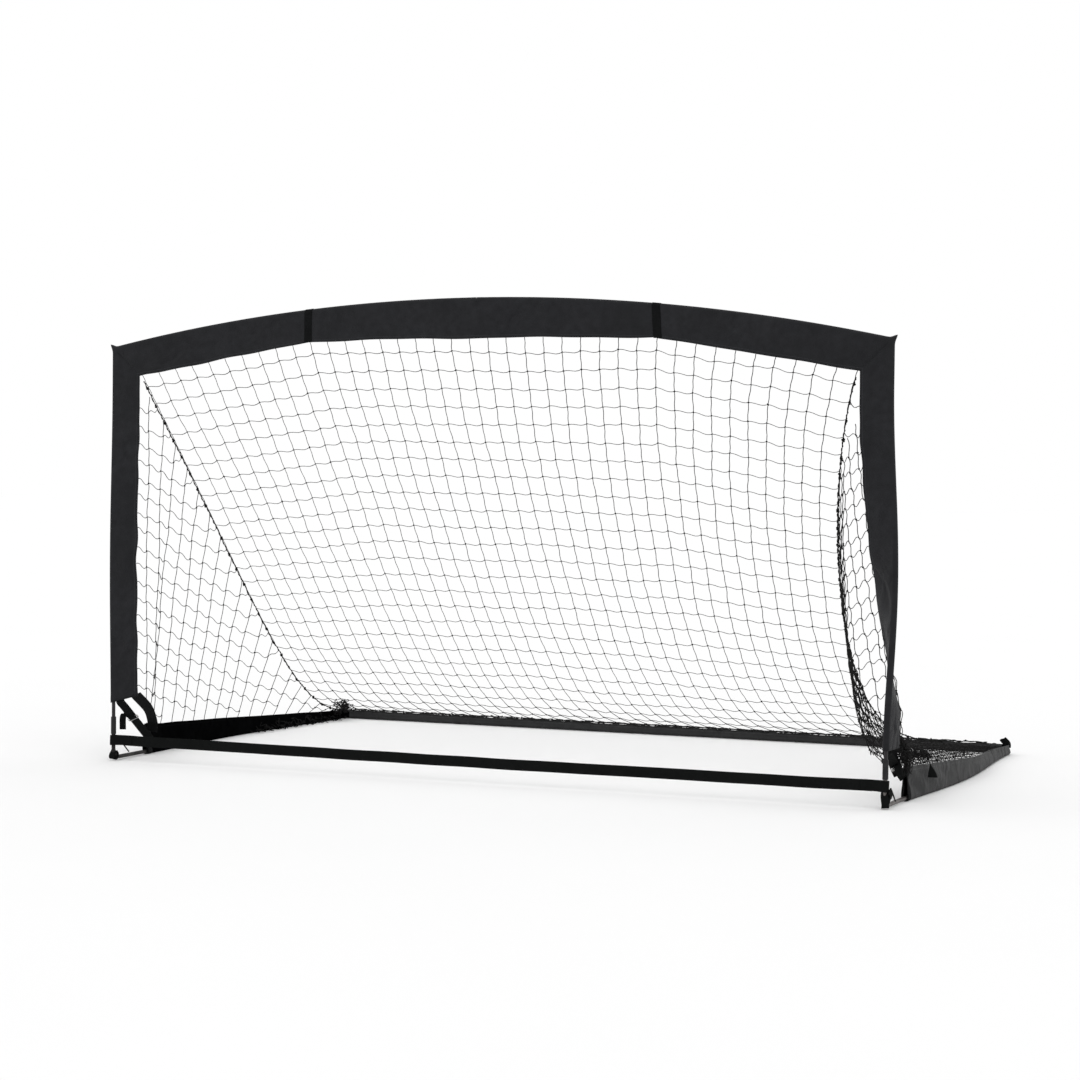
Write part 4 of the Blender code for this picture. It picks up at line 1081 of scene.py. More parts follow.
    def ground_route(self, side: Side) -> tuple[np.ndarray, np.ndarray]:
        """Middle line of a ground cover and the height of its upper edge: along the rail and round the rear corner.

        Args:
            side: Which rail.

        Returns:
            Places and heights. The left one runs past the rear hinge, and the right one ends at it.
        """
        lines = self.lines
        y = np.linspace(lines.front + lines.base_front, lines.rear - lines.corner_bend, 74)
        straight = np.stack([lines.rail_x(side, y), y, np.full(len(y), lines.rail_z)], axis=1)
        a = np.linspace(0.0, math.pi / 2.0, 9)[1:]
        bend = np.stack([side.sign * (lines.half_width - lines.corner_bend * (1.0 - np.cos(a))),
                         lines.rear - lines.corner_bend * (1.0 - np.sin(a)), np.full(len(a), lines.rail_z)], axis=1)
        end = 1.060 if side is Side.LEFT else lines.hinge_x + 0.002
        x = np.linspace(lines.half_width - lines.corner_bend, end, 14 if side is Side.LEFT else 4)[1:]
        tail = np.stack([side.sign * x, np.full(len(x), lines.rear), np.full(len(x), lines.rail_z)], axis=1)
        route = np.concatenate([straight, bend, tail])
        return route, lines.base_z(route[:, 1])

    def ground(self, side: Side) -> None:
        """Cover of a ground rail: a flat tapering sleeve that stands on its edge and slumps a little.

        Each point is the rail's middle line + distance * up + height * sideways; the upper part leans and creases.
        """
        lines = self.lines
        route, top = self.ground_route(side)
        tangent = unit(np.gradient(route, axis=0))
        sideways = np.cross(np.array([0.0, 0.0, 1.0]), tangent)
        reach = top - lines.rail_z
        inside = 3
        route = np.concatenate([route[:1] + np.array([[0.0, step, 0.0] for step in (0.014, 0.007, 0.0006)]), route])
        sideways = np.concatenate([sideways[:1].repeat(inside, 0), sideways])
        reach = np.concatenate([reach[:1].repeat(inside), reach])
        shrink = np.concatenate([np.full(inside, 0.0009), np.zeros(len(reach) - inside)])
        distance, height = cover_section(self.ground_radius - shrink, reach - shrink, self.ground_edge - shrink * 0.9)
        run = np.broadcast_to(route[:, 1:2], distance.shape)
        share = np.clip(distance / reach[:, None], 0.0, 1.0)
        front = np.clip(1.0 - (run - route[0, 1]) / 0.42, 0.0, 1.0)
        seed = 41 + (side is Side.RIGHT) * 6
        fold = waves(run / 0.13 + share * 0.9, share * 0.6, seed) * (0.0015 + 0.0042 * front)
        lean = 0.006 * waves(run / 0.5, 0.0 * run, seed + 2) * share**2
        slump = 0.0012 * waves(run / 0.22, 0.0 * run, seed + 3) * share * (0.3 + front)
        out = np.sign(height) * (0.0006 + self.puckers(run, distance, reach[:, None], seed + 4) * 0.6)
        thick = height + out + np.sin(math.pi * share) * fold
        if side is Side.RIGHT:
            pocket = 0.009 * np.exp(-(((run + 0.330) / 0.075) ** 2 + ((share - 0.42) / 0.26) ** 2))
            thick = thick - np.where(height < 0.0, pocket, 0.0)
        base = route[:, None] + sideways[:, None] * (thick + lean)[..., None]
        z = np.maximum(lines.rail_z + distance - slump * (distance > 0.0), 0.0)
        grid = np.concatenate([base[..., :2], z[..., None]], axis=-1)
        d0, h0 = cover_section(self.ground_radius, 0.06, self.ground_edge)
        piece = grid_object(f"ground_cover_{side.value}", grid, ring=True, round_=hem_measure(d0[0], h0[0]))
        self.wardrobe.dress(piece, Wardrobe.GROUND)
        # The inward faces get painted shade, a darker and dull copy of the cloth, not a lining.
        self.wardrobe.line(piece, Wardrobe.INWARD_SHADE, lambda normal: normal[:, 0] * side.sign < -0.2)
        if side is Side.LEFT:
            side.rear
            lines.rear
            lines.rear
            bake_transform(piece)
        else:
            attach(piece, side.frame)
        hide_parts(f"base_sleeve_{side.value}")

    def ground_binding(self, side: Side) -> None:
        """Tape that binds the front end of a ground cover, as a low collar that follows its section."""
        lines = self.lines
        y = lines.front + lines.base_front
        step = np.array([-0.0012, -0.0022, -0.0022, 0.006, 0.018, 0.0245, 0.0245])
        lift = np.array([-0.0006, 0.0002, 0.0012, 0.0014, 0.0014, 0.0010, -0.0004])
        reach = lines.base_z(np.array([y]))[0] - lines.rail_z + 0.002
        distance, height = cover_section(self.ground_radius + lift, reach + lift, self.ground_edge + lift)
        share = np.clip(distance / reach, 0.0, 1.0)
        place_y = y + step[:, None] - 0.010 * np.sin(math.pi * share) + 0.006 * share
        fold = waves((y + step)[:, None] / 0.13 + share * 0.9, share * 0.6, 41 + (side is Side.RIGHT) * 6) * 0.0057
        x = lines.rail_x(side, place_y) - (height + np.sin(math.pi * share) * fold + np.sign(height) * 0.0008)
        z = np.maximum(lines.rail_z + distance, 0.0002)
        grid = np.stack([x, place_y, z], axis=-1)
        piece = grid_object(f"ground_binding_{side.value}", grid, ring=True)
        self.wardrobe.dress(piece, Wardrobe.BINDING)
        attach(piece, side.frame)

    def rear(self) -> None:
        """Cover of the rear bar, a low sleeve that lies on the ground over the middle hinge; it is baked in place and
        does not fold.
        """
        lines = self.lines
        x = np.concatenate([np.linspace(-1.064, -0.06, 44), np.linspace(-0.054, 0.054, 19),
                            np.linspace(0.06, lines.hinge_x - 0.002, 46)])[:, None]
        reach = np.full(len(x), lines.base_low - lines.rail_z)
        distance, height = cover_section(self.ground_radius - 0.0002, reach, self.ground_edge)
        share = np.clip(distance / reach[:, None], 0.0, 1.0)
        run = np.broadcast_to(x, distance.shape)
        lean = 0.0035 * waves(run / 0.22, share * 0.5, 61) * share
        behind = (height > 0.0) * np.exp(-((run / 0.020) ** 2)) * np.exp(-((distance / 0.014) ** 2))
        y = lines.rear + height + lean + self.eye_bulge * behind
        z = np.maximum(lines.rail_z + distance + 0.0016 * waves(run / 0.10, 0.0 * run, 62) * share, 0.0)
        grid = np.stack([run, y, z], axis=-1)
        piece = grid_object("rear_cover", grid, ring=True, round_=hem_measure(distance[0], height[0]))
        self.wardrobe.dress(piece, Wardrobe.GROUND)
        lines.rear
        lines.rear
        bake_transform(piece)
        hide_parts("rear_bar_sleeve_left", "rear_bar_sleeve_right")

    def rear_cuff(self) -> None:
        """Gathered cloth over the right rear hinge: a low barrel about the hinge's axis with a soft crumpled top."""
        lines = self.lines
        profile = np.array([[0.0096, 0.0], [0.0116, 0.0035], [0.0120, 0.012], [0.0116, 0.021], [0.0098, 0.0278],
                            [0.0062, 0.0312], [0.0024, 0.0322]])
        turn = math.tau * np.arange(36) / 36
        gather = 1.0 + 0.07 * np.sin(9.0 * turn)[None] * ease(profile[:, 1] / 0.02)[:, None]
        r = profile[:, 0:1] * gather
        z = np.broadcast_to(profile[:, 1:2], r.shape)
        grid = np.stack([lines.hinge_x + r * np.cos(turn), lines.rear + r * np.sin(turn), z], axis=-1)
        piece = grid_object("rear_cuff_right", grid, ring=True, capped=True)
        self.wardrobe.dress(piece, Wardrobe.GROUND)
        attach(piece, "right_frame")


# ---------------------------------------------------------------- webbing


@dataclass
class Straps:
    """Webbing of the goal: the strap across the mouth, curved edge bands, tension straps, loops and a tag."""

    lines: GoalLines
    wardrobe: Wardrobe
    strap_width: float = 0.031
    strap_z: float = 0.062
    thick: float = 0.0018
    loop_radius: float = 0.0098
    keep: float = 0.1784
    facing: tuple[float, float, float] = (0.39, -0.92, 0.0)
    buckle_place: float = 0.42
    aside: tuple[float, float, float] = (0.016, 0.030, 0.0)
    sewn_share: tuple[float, float] = (1.0, 0.86)
    tail_size: tuple[float, float] = (1.0, 0.55)

    def build(self) -> None:
        """Builds every strap."""
        self.front_strap()
        for side in Side:
            self.edge_band(side)
            self.tension_strap(side)
            self.foot_loop(side)
            self.rear_loop(side)
            self.elastic(side)
        self.tag()

    def gather(self, piece: bpy.types.Object) -> None:
        """Gives a soft piece its own copy of its mesh."""
        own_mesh(piece)

    def front_strap(self) -> None:
        """Strap across the mouth, doubled back round each stub and sewn to itself.

        Its path is a straight run with a slight sag, and a tear-drop round each stub: a circle about the stub closed
        by its two tangents.
        """
        lines = self.lines
        neck = lines.half_width - 0.036
        x = np.linspace(-neck, neck, 61)
        z = self.strap_z - 0.0022 * np.cos(math.pi * x / (2.0 * neck)) + 0.0008 * waves(x / 0.4, 0.0 * x, 71)
        y = lines.front + 0.0006 * waves(x / 0.3, 0.0 * x, 72)
        across = np.stack([0.02 * waves(x / 0.5, 0 * x, 74), 0.10 * waves(x / 0.5, 0.0 * x, 73), np.ones(61)], axis=1)
        main = strap_object("front_strap_run", np.stack([x, y, z], axis=1), across, self.strap_width, self.thick)
        self.wardrobe.dress(main, Wardrobe.WEBBING)
        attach(main, "left_frame")
        self.gather(main)
        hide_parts("front_strap")
        for side in Side:
            reach = 0.036
            open_ = math.acos(self.loop_radius / reach)
            turn = np.linspace(open_, math.tau - open_, 29)
            loop = np.stack([lines.half_width - self.loop_radius * np.cos(turn),
                             lines.front + self.loop_radius * np.sin(turn), np.full(29, self.strap_z)], axis=1)
            tail = np.array([[neck, lines.front + 0.0019, self.strap_z], [neck - 0.055, lines.front + 0.0019,
                                                                          self.strap_z - 0.0006]])
            lead = np.array([[neck, lines.front - 0.0019, self.strap_z], [neck - 0.030, lines.front - 0.0019,
                                                                          self.strap_z - 0.0003]])
            path = curve_through(list(map(tuple, np.concatenate([tail[::-1], loop, lead]))), 70)
            path[:, 0] *= side.sign
            path[:, 2] += 0.0008 * np.sin(np.linspace(0.0, 9.0, len(path)))
            piece = strap_object(f"strap_end_loop_{side.value}", path, (0.03, 0.0, 1.0), self.strap_width * 0.98,
                                 self.thick)
            self.wardrobe.dress(piece, Wardrobe.WEBBING)
            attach(piece, side.frame)
            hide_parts(f"front_strap_loop_{side.value}")

    def edge_band(self, side: Side) -> None:
        """Curved band with its flat side to the mouth, slightly cupped and rippled where it turns."""
        path = self.lines.band_path(side)
        across = np.cross(np.array(self.facing), unit(np.gradient(path, axis=0)))
        t = np.linspace(0.0, 1.0, len(path))
        across = unit(across) + np.array([0.0, 1.0, 0.0]) * (0.22 * waves(t * 1.4, 0.0 * t, 81))[:, None]
        piece = strap_object(f"edge_tape_{side.value}", path, across, 0.0320, 0.0017)
        self.wardrobe.dress(piece, Wardrobe.BINDING)
        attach(piece, side.frame)
        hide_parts(f"edge_band_{side.value}")

    def tension_ends(self, side: Side) -> tuple[np.ndarray, np.ndarray]:
        """Both ends of the tension strap between the upright cover's foot and the ground cover."""
        lines = self.lines
        bottom = lines.cover_bottom[side is Side.RIGHT] - 0.014
        high = np.array([side.sign * (lines.half_width - 0.020), lines.front + 0.006, bottom])
        low = np.array([side.sign * (lines.half_width - 0.014), lines.front + lines.base_front - 0.008, 0.050])
        aside = np.array(self.aside) * (side is Side.RIGHT)
        return high + aside, low + aside

    def tension_strap(self, side: Side) -> None:
        """Strap pulled tight between the foot of the upright cover and the ground cover, its slider and loose tail.

        The slider is a flat ring of square wire with a bar; it and the tail slide along the strap.
        """
        high, low = self.tension_ends(side)
        along = unit(low - high)
        across = unit(np.cross(np.array(self.facing), along))
        face = np.cross(along, across)
        inside = high + np.array([0.0, -0.006, 0.022])
        shares = np.array([0.0, 0.10, 0.20, 0.35, 0.50, 0.65, 0.80, 1.0]) * self.sewn_share[side is Side.RIGHT]
        path = curve_through([tuple(inside)] + [tuple(high + share * (low - high)) for share in shares], 40)
        strap = strap_object(f"tension_strap_{side.value}", path, across, 0.0255, 0.0017)
        self.wardrobe.dress(strap, Wardrobe.WEBBING)
        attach(strap, side.frame)
        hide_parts(f"adjuster_strap_{side.value}")
        centre = high + self.buckle_place * (low - high)
        body = f"buckle_{side.value}"
        turn = math.tau * np.arange(40) / 40
        wide = 0.0158 * np.sign(np.cos(turn)) * np.abs(np.cos(turn)) ** 0.35
        deep = 0.0052 * np.sign(np.sin(turn)) * np.abs(np.sin(turn)) ** 0.5
        ring = centre + wide[:, None] * across + deep[:, None] * along * 1.5
        wire = strap_grid(ring + 0.0022 * face, np.broadcast_to(face, ring.shape), 0.0024, 0.0022, closed=True)
        slider = grid_object(f"strap_slider_{side.value}", wire, ring=True, loop=True)
        self.wardrobe.dress(slider, Wardrobe.BRIGHT)
        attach(slider, body)
        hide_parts(f"adjuster_buckle_{side.value}")
        bar_path = centre + np.linspace(-0.0150, 0.0150, 7)[:, None] * across + 0.0034 * face
        bar = tube_object(f"slider_bar_{side.value}", [bar_path], 0.0016, 8, along)
        self.wardrobe.dress(bar, Wardrobe.BRIGHT)
        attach(bar, body)
        out, size = side.sign, self.tail_size[side is Side.RIGHT]
        tail = curve_through([tuple(centre + along * 0.004 + face * 0.0046),
                              tuple(centre - along * 0.009 + face * 0.0066),
                              tuple(centre + size * np.array([out * 0.012, -0.018, 0.012])),
                              tuple(centre + size * np.array([out * 0.020, -0.024, 0.002])),
                              tuple(centre + size * np.array([out * 0.020, -0.025, -0.036]))], 30)
        t = np.linspace(0.0, 1.0, len(tail))
        turns = ((across[0], 0.30, 0.92, 0.92), (across[1], 0.13, 0.39, 0.39), (across[2], 0.92, 0.30, 0.05))
        way = np.stack([np.interp(t, [0.0, 0.30, 0.62, 1.0], values) for values in turns], axis=1)
        end = strap_object(f"strap_tail_{side.value}", tail, way, 0.0195, 0.0017)
        self.wardrobe.dress(end, Wardrobe.WEBBING)
        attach(end, body)

    def foot_loop(self, side: Side) -> None:
        """Webbing loop that hangs from the strap and runs round the foot bend, crumpled at its knot."""
        lines = self.lines
        t = math.tau * np.arange(40) / 40
        wide, tall, middle = ((0.0100, 0.0122, 0.0166), (0.0125, 0.0225, 0.0272))[side is Side.RIGHT]
        radius = wide + 0.0010 * np.sin(3.0 * t)
        x = side.sign * (lines.half_width + 0.001 + 0.0020 * np.sin(2.0 * t))
        y = lines.front + 0.0045 + radius * np.cos(t) * 0.95 + 0.25 * tall * np.sin(t)
        z = middle + tall * np.sin(t)
        piece = strap_object(f"foot_loop_{side.value}", np.stack([x + 0.0 * t, y, z], axis=1),
                             np.array([1.0, 0.0, 0.12 * side.sign]), 0.021, 0.0022, closed=True)
        self.wardrobe.dress(piece, Wardrobe.WEBBING)
        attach(piece, side.frame)
        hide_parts(f"stake_loop_front_{side.value}")
        if side is Side.LEFT:
            return
        stub = curve_through([(side.sign * (lines.half_width + 0.012), lines.front - 0.004, 0.050),
                              (side.sign * (lines.half_width + 0.015), lines.front + 0.006, 0.040),
                              (side.sign * (lines.half_width + 0.011), lines.front + 0.010, 0.026)], 12)
        end = strap_object(f"foot_loop_end_{side.value}", stub, (0.2, 1.0, 0.3), 0.017, 0.0022)
        self.wardrobe.dress(end, Wardrobe.WEBBING)
        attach(end, side.frame)

    def rear_loop(self, side: Side) -> None:
        """Folded webbing tab for a ground stake, standing up at the rear corner: two leaves from one bent strip."""
        lines = self.lines
        x = side.sign * (lines.half_width - 0.004)
        path = curve_through([(x, lines.rear - 0.012, 0.020), (x, lines.rear - 0.015, 0.034),
                              (x - side.sign * 0.009, lines.rear - 0.029, 0.048),
                              (x - side.sign * 0.012, lines.rear - 0.033, 0.050),
                              (x - side.sign * 0.010, lines.rear - 0.029, 0.045),
                              (x - side.sign * 0.003, lines.rear - 0.019, 0.034),
                              (x + side.sign * 0.001, lines.rear - 0.015, 0.020)], 40)
        piece = strap_object(f"rear_loop_{side.value}", path, (side.sign * 1.0, 0.25, 0.35), 0.020, 0.0018)
        self.wardrobe.dress(piece, Wardrobe.WEBBING)
        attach(piece, side.frame)
        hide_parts(f"stake_loop_rear_{side.value}")

    def elastic(self, side: Side) -> None:
        """Thin elastic from the front strap down to the ground rail."""
        lines = self.lines
        x, front = lines.half_width, lines.front
        path = curve_through(([(-x + 0.008, front + 0.010, 0.062), (-x + 0.006, front + 0.045, 0.044),
                               (-x - 0.003, front + 0.090, 0.0175)],
                              [(x + 0.0125, front + 0.010, 0.056), (x + 0.0135, front + 0.032, 0.036),
                               (x + 0.0125, front + 0.058, 0.0165)])[side is Side.RIGHT], 16)
        piece = tube_object(f"elastic_{side.value}", [path], 0.0020, 8, np.array([1.0, 0.0, 0.2]))
        self.wardrobe.dress(piece, Wardrobe.ELASTIC)
        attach(piece, side.frame)
        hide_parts(f"elastic_cord_{side.value}")

    def tag(self) -> None:
        """Webbing tab folded to a triangle on the outer face of the right ground cover, hung from a narrow strip."""
        lines = self.lines
        y = np.array([-0.385])
        x = float(lines.rail_x(Side.RIGHT, y)[0]) + 0.0135
        strip = np.linspace(0.0, 1.0, 15)[:, None]
        top, knee, foot = (np.array(p) for p in ((x - 0.006, -0.390, 0.100), (x + 0.004, -0.393, 0.084),
                                                 (x + 0.011, -0.400, 0.050)))
        path = (1 - strip) ** 2 * top + 2 * strip * (1 - strip) * knee + strip**2 * foot
        spread = 0.0014 + 0.0125 * ease((strip[:, 0] - 0.30) / 0.75)
        way = unit(np.array([0.92, 0.39, 0.0]))
        turn = math.tau * (np.arange(12) + 0.5) / 12
        wide = np.sign(np.cos(turn)) * np.abs(np.cos(turn)) ** 0.3
        deep = 0.0015 * np.sign(np.sin(turn)) * np.abs(np.sin(turn)) ** 0.6
        face = np.array([0.39, -0.92, 0.0])
        grid = path[:, None] + (spread[:, None] * wide)[..., None] * way + deep[None, :, None] * face
        piece = grid_object("ground_tag_right", grid, ring=True, capped=True)
        self.wardrobe.dress(piece, Wardrobe.WEBBING)
        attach(piece, "right_frame")


# ---------------------------------------------------------------- nets and seam cords


@dataclass
class Nets:
    """Knotted nets: the back panel, both side panels, their seam cords and the loose bunches at the corners."""

    lines: GoalLines
    wardrobe: Wardrobe
    columns: int = 40
    bar: float = 0.0710
    first_bar: float = 0.051
    strand: float = 0.00112
    knot: float = 0.0025
    side_step: tuple[float, float] = (0.0745, 0.0400)
    side_row: tuple[float, float] = (0.0520, 0.0440)
    sway: tuple[float, float] = (1.0, 1.9)
    side_fall: float = 0.27
    keep: float = 0.183293
    slack: tuple[float, float] = (0.0, 5.0)
    hump: tuple[float, float] = (0.0085, 0.0110)

    def build(self) -> None:
        """Builds every net and cord."""
        self.back()
        for side in Side:
            self.side_panel(side)
            self.seam_cord(side)
        self.foot_cord()
        self.front_bunch()
        self.rear_bunch()

    def gather(self, piece: bpy.types.Object, side: Side = Side.LEFT) -> None:
        """Lets a net ride on a side frame and gives it its own copy of its mesh."""
        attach(piece, side.frame)
        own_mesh(piece)

    def back_place(self, u: np.ndarray, t: np.ndarray) -> np.ndarray:
        """A place on the back net: u runs from the left seam to the right one, t from the crossbar to the rear bar."""
        lines = self.lines
        left, right = lines.seam(Side.LEFT, t)[..., 0], lines.seam(Side.RIGHT, t)[..., 0]
        top = lines.hem_z((lines.half_width - 0.092) * (2.0 * u - 1.0)) + 0.001
        z = lines.net_foot + (top - lines.net_foot) * lines.net_fall(t)
        return np.stack([left + (right - left) * u, lines.net_y(t) + 0.0 * u, z], axis=-1)

    def back(self) -> None:
        """Back net: straight columns from the crossbar, slack rows tied to them.

        A column runs through its knots with a small S between them, and a row sags as a half sine plus a small S.
        """
        fine = np.linspace(0.0, 0.995, 500)
        middle = self.back_place(np.full(500, 0.5), fine)
        run = np.concatenate([[0.0], np.cumsum(np.linalg.norm(np.diff(middle, axis=0), axis=1))])
        stops = np.concatenate([[0.0], np.arange(self.first_bar, run[-1] - 0.03, self.bar), [run[-1]]])
        rows, columns = len(stops), self.columns
        u0 = np.broadcast_to(np.linspace(0.0, 1.0, columns), (rows, columns))
        j, i = np.meshgrid(np.arange(rows, dtype=float), np.arange(columns, dtype=float), indexing="ij")
        inner = ((j > 0) & (j < rows - 1)).astype(float)
        u = u0 + inner * (0.0011 * waves(i / 9.0, j / 7.0, 91) + 0.0007 * waves(i / 2.3, j / 2.1, 92))
        u[:, 0], u[:, -1] = 0.0, 1.0
        alternate = np.where(i % 2 < 1, 1.0, -1.0)
        zigzag = 0.0042 * alternate * ease((i / columns - 0.50) / 0.2) * np.exp(-j / 5.0)
        offset = inner * (0.0060 * waves(i / 14.0, j / 9.0, 93) + 0.0022 * waves(i / 2.0, j / 2.2, 94) + zigzag)
        t = np.interp(stops[:, None] + offset, run, fine)
        nodes = self.back_place(u, t)
        nodes[-1, :, 2] = 0.036
        paths = []
        share = np.linspace(0.0, 1.0, 4)[:-1]
        side_way = np.array([1.0, 0.0, 0.0])
        for c in range(columns):
            a, b = nodes[:-1, c], nodes[1:, c]
            s = 0.0010 * np.sin(math.tau * share)[None, :, None] * alternate[:-1, c][:, None, None] * side_way
            path = (a[:, None] + (b - a)[:, None] * share[None, :, None] + s).reshape(-1, 3)
            paths.append(np.concatenate([path, b[-1:]]))
        share = np.linspace(0.0, 1.0, 7)[:-1]
        sag_way = unit(np.array([0.0, 0.35, -1.0]))
        for r in range(1, rows - 1):
            a, b = nodes[r, :-1], nodes[r, 1:]
            k = np.arange(columns - 1)
            deep = 0.0030 + 0.0016 * waves(k / 3.0, np.full(columns - 1, r / 3.0), 95) + 0.0022 * np.exp(-k / 5.0)
            s = deep[:, None] * np.sin(math.pi * share) - 0.0019 * np.sin(math.tau * share)[None]
            path = (a[:, None] + (b - a)[:, None] * share[None, :, None] + s[..., None] * sag_way).reshape(-1, 3)
            paths.append(np.concatenate([path, b[-1:]]))
        knots = nodes[1:-1, 1:-1].reshape(-1, 3)
        piece = tube_object("back_net_mesh", paths, self.strand, 4, np.array([0.12, 0.96, 0.83]), knots, self.knot)
        self.wardrobe.dress(piece, Wardrobe.TWINE)
        self.gather(piece)
        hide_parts("back_net")

    def seam_at(self, side: Side, y: np.ndarray) -> np.ndarray:
        """Place on the seam cord at depth y."""
        return self.lines.seam(side, np.clip((y - self.lines.front - 0.004) / self.lines.net_depth, 0.0, 1.0))

    def hem_at(self, side: Side, y: np.ndarray, band: np.ndarray) -> tuple[np.ndarray, np.ndarray]:
        """Lower edge of a side net at depth y: along the curved band, then on the ground cover's upper edge.

        Args:
            side: Which panel.
            y: Depths.
            band: Middle line of the curved band.

        Returns:
            x and z of the edge.
        """
        lines = self.lines
        on_band = y <= band[-1, 1]
        x = np.where(on_band, np.interp(y, band[:, 1], band[:, 0]), lines.rail_x(side, y))
        z = np.where(on_band, np.interp(y, band[:, 1], band[:, 2]) + 0.010, lines.base_z(y) - 0.001)
        share = ease((y - band[-1, 1]) / 0.06)
        z = np.where(on_band, z, (band[-1, 2] + 0.010) * (1.0 - share) + z * share)
        return x, z

    def front_at(self, side: Side, z: np.ndarray) -> np.ndarray:
        """Place on the upright cover's hem at height z, a little behind it."""
        lines = self.lines
        twist = lines.cover_twist(side, z)
        reach = lines.cover_reach - 0.004
        x = lines.upright_x(side, z) - side.sign * reach * np.cos(twist)
        return np.stack([x, lines.front + reach * np.sin(twist) + 0.004, z], axis=-1)

    def panel_place(self, side: Side, y: np.ndarray, share: np.ndarray, band: np.ndarray) -> np.ndarray:
        """A place on a side panel, from the hem (share 0) to the seam (share 1).

        The height runs evenly, and the breadth is a power of it, so that a slack panel falls steeply from its seam
        and runs out low to its hem. In front the panel is drawn to the upright cover's hem.

        Args:
            side: Which panel.
            y: Depths.
            share: Share of the height.
            band: Middle line of the curved band.

        Returns:
            Places.
        """
        top = self.seam_at(side, y)
        low_x, low_z = self.hem_at(side, y, band)
        z = low_z + (top[..., 2] - low_z) * share
        power = 1.0 / (1.0 + self.slack[side is Side.RIGHT] * ease((y - self.lines.front - 0.08) / 0.25))
        x = low_x + (top[..., 0] - low_x) * share**power
        front = self.front_at(side, z)
        pull = 1.0 - ease((y - front[..., 1]) / 0.22)
        return np.stack([x + (front[..., 0] - x) * pull, y + 0.0 * z, z], axis=-1)

    def side_panel(self, side: Side) -> None:
        """Side net: columns hang from the seam cord to the ground cover, and slack rows fall towards the rear.

        A row between two knots rises a little and then drops, as a half sine less a full sine.
        """
        lines = self.lines
        band = lines.band_path(side)
        step, drop_row = (values[side is Side.RIGHT] for values in (self.side_step, self.side_row))
        y_values = lines.front + 0.060 + step * np.arange(36)
        y_values = y_values[y_values < 0.66]
        paths, knots, cells = [], [], {}
        top0 = float(lines.seam(side, np.array(0.0))[2])
        drop = np.linspace(1.0, 0.0, 240) ** 3
        n = np.arange(-2, 42)
        for c, y in enumerate(y_values):
            column = self.panel_place(side, np.full(240, y), drop, band)
            fallen = np.concatenate([[0.0], np.cumsum(np.linalg.norm(np.diff(column, axis=0), axis=1))])
            at = column[0, 2] - top0 + 0.035 + drop_row * n + self.side_fall * (y - lines.front)
            at = at + 0.0050 * waves(n / 6.0, np.full(len(n), c / 5.0), 101) + 0.0030 * waves(
                n / 1.7, np.full(len(n), c / 1.9), 102)
            keep = (at > 0.016) & (at < fallen[-1] - 0.018)
            nodes = np.stack([np.interp(at, fallen, column[:, k]) for k in range(3)], axis=1)
            nodes[:, 1] += 0.0050 * waves(n / 3.0, np.full(len(n), c / 3.0), 103)
            cells.update({(c, int(n[k])): nodes[k] for k in np.flatnonzero(keep)})
            chain = np.concatenate([column[:1], nodes[keep], column[-1:]])
            knots.append(nodes[keep])
            share = np.linspace(0.0, 1.0, 6)[:-1]
            a, b = chain[:-1], chain[1:]
            swing = 0.0040 * waves(np.arange(len(a)) / 1.3, np.full(len(a), c / 1.7), 104) + 0.0016
            swing = swing * self.sway[side is Side.RIGHT]
            s = swing[:, None] * np.sin(math.pi * share) + 0.0022 * np.sin(math.tau * share)[None]
            path = (a[:, None] + (b - a)[:, None] * share[None, :, None]
                    + s[..., None] * np.array([0.25 * side.sign, 1.0, 0.0])).reshape(-1, 3)
            paths.append(np.concatenate([path, b[-1:]]))
        rows = sorted({n for _, n in cells})
        share = np.linspace(0.0, 1.0, 8)[:-1]
        for row in rows:
            chain = [cells[(c, row)] for c in range(len(y_values)) if (c, row) in cells]
            first = chain[0]
            lead = self.front_at(side, np.array(first[2] + self.side_fall * (first[1] - lines.front) * 0.8))
            inside_front = (0, row) in cells and first[2] > lines.cover_bottom[side is Side.RIGHT]
            if inside_front:
                chain = [lead, *chain]
            last = chain[-1]
            on_seam = self.seam_at(side, np.array(last[1] + step * 0.55))
            if last[2] > 0.14 and abs(float(on_seam[2]) - last[2]) < 0.10:
                chain.append(on_seam)
            if len(chain) < 2:
                continue
            chain = np.array(chain)
            a, b = chain[:-1], chain[1:]
            k = np.arange(len(a))
            deep = self.hump[side is Side.RIGHT] * (1.0 + 0.4 * waves(k / 2.0, np.full(len(a), row / 2.0), 105))
            s = -0.55 * deep[:, None] * np.sin(math.tau * share) + 0.35 * deep[:, None] * np.sin(math.pi * share)
            path = (a[:, None] + (b - a)[:, None] * share[None, :, None]
                    + s[..., None] * np.array([0.0, 0.1, -1.0])).reshape(-1, 3)
            paths.append(np.concatenate([path, b[-1:]]))
        reference = np.array([1.0, 0.13, 0.21])
        piece = tube_object(f"side_net_mesh_{side.value}", paths, self.strand, 4, reference, np.concatenate(knots),
                            self.knot)
        self.wardrobe.dress(piece, Wardrobe.TWINE)
        self.gather(piece, side)
        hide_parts(f"side_net_{side.value}")

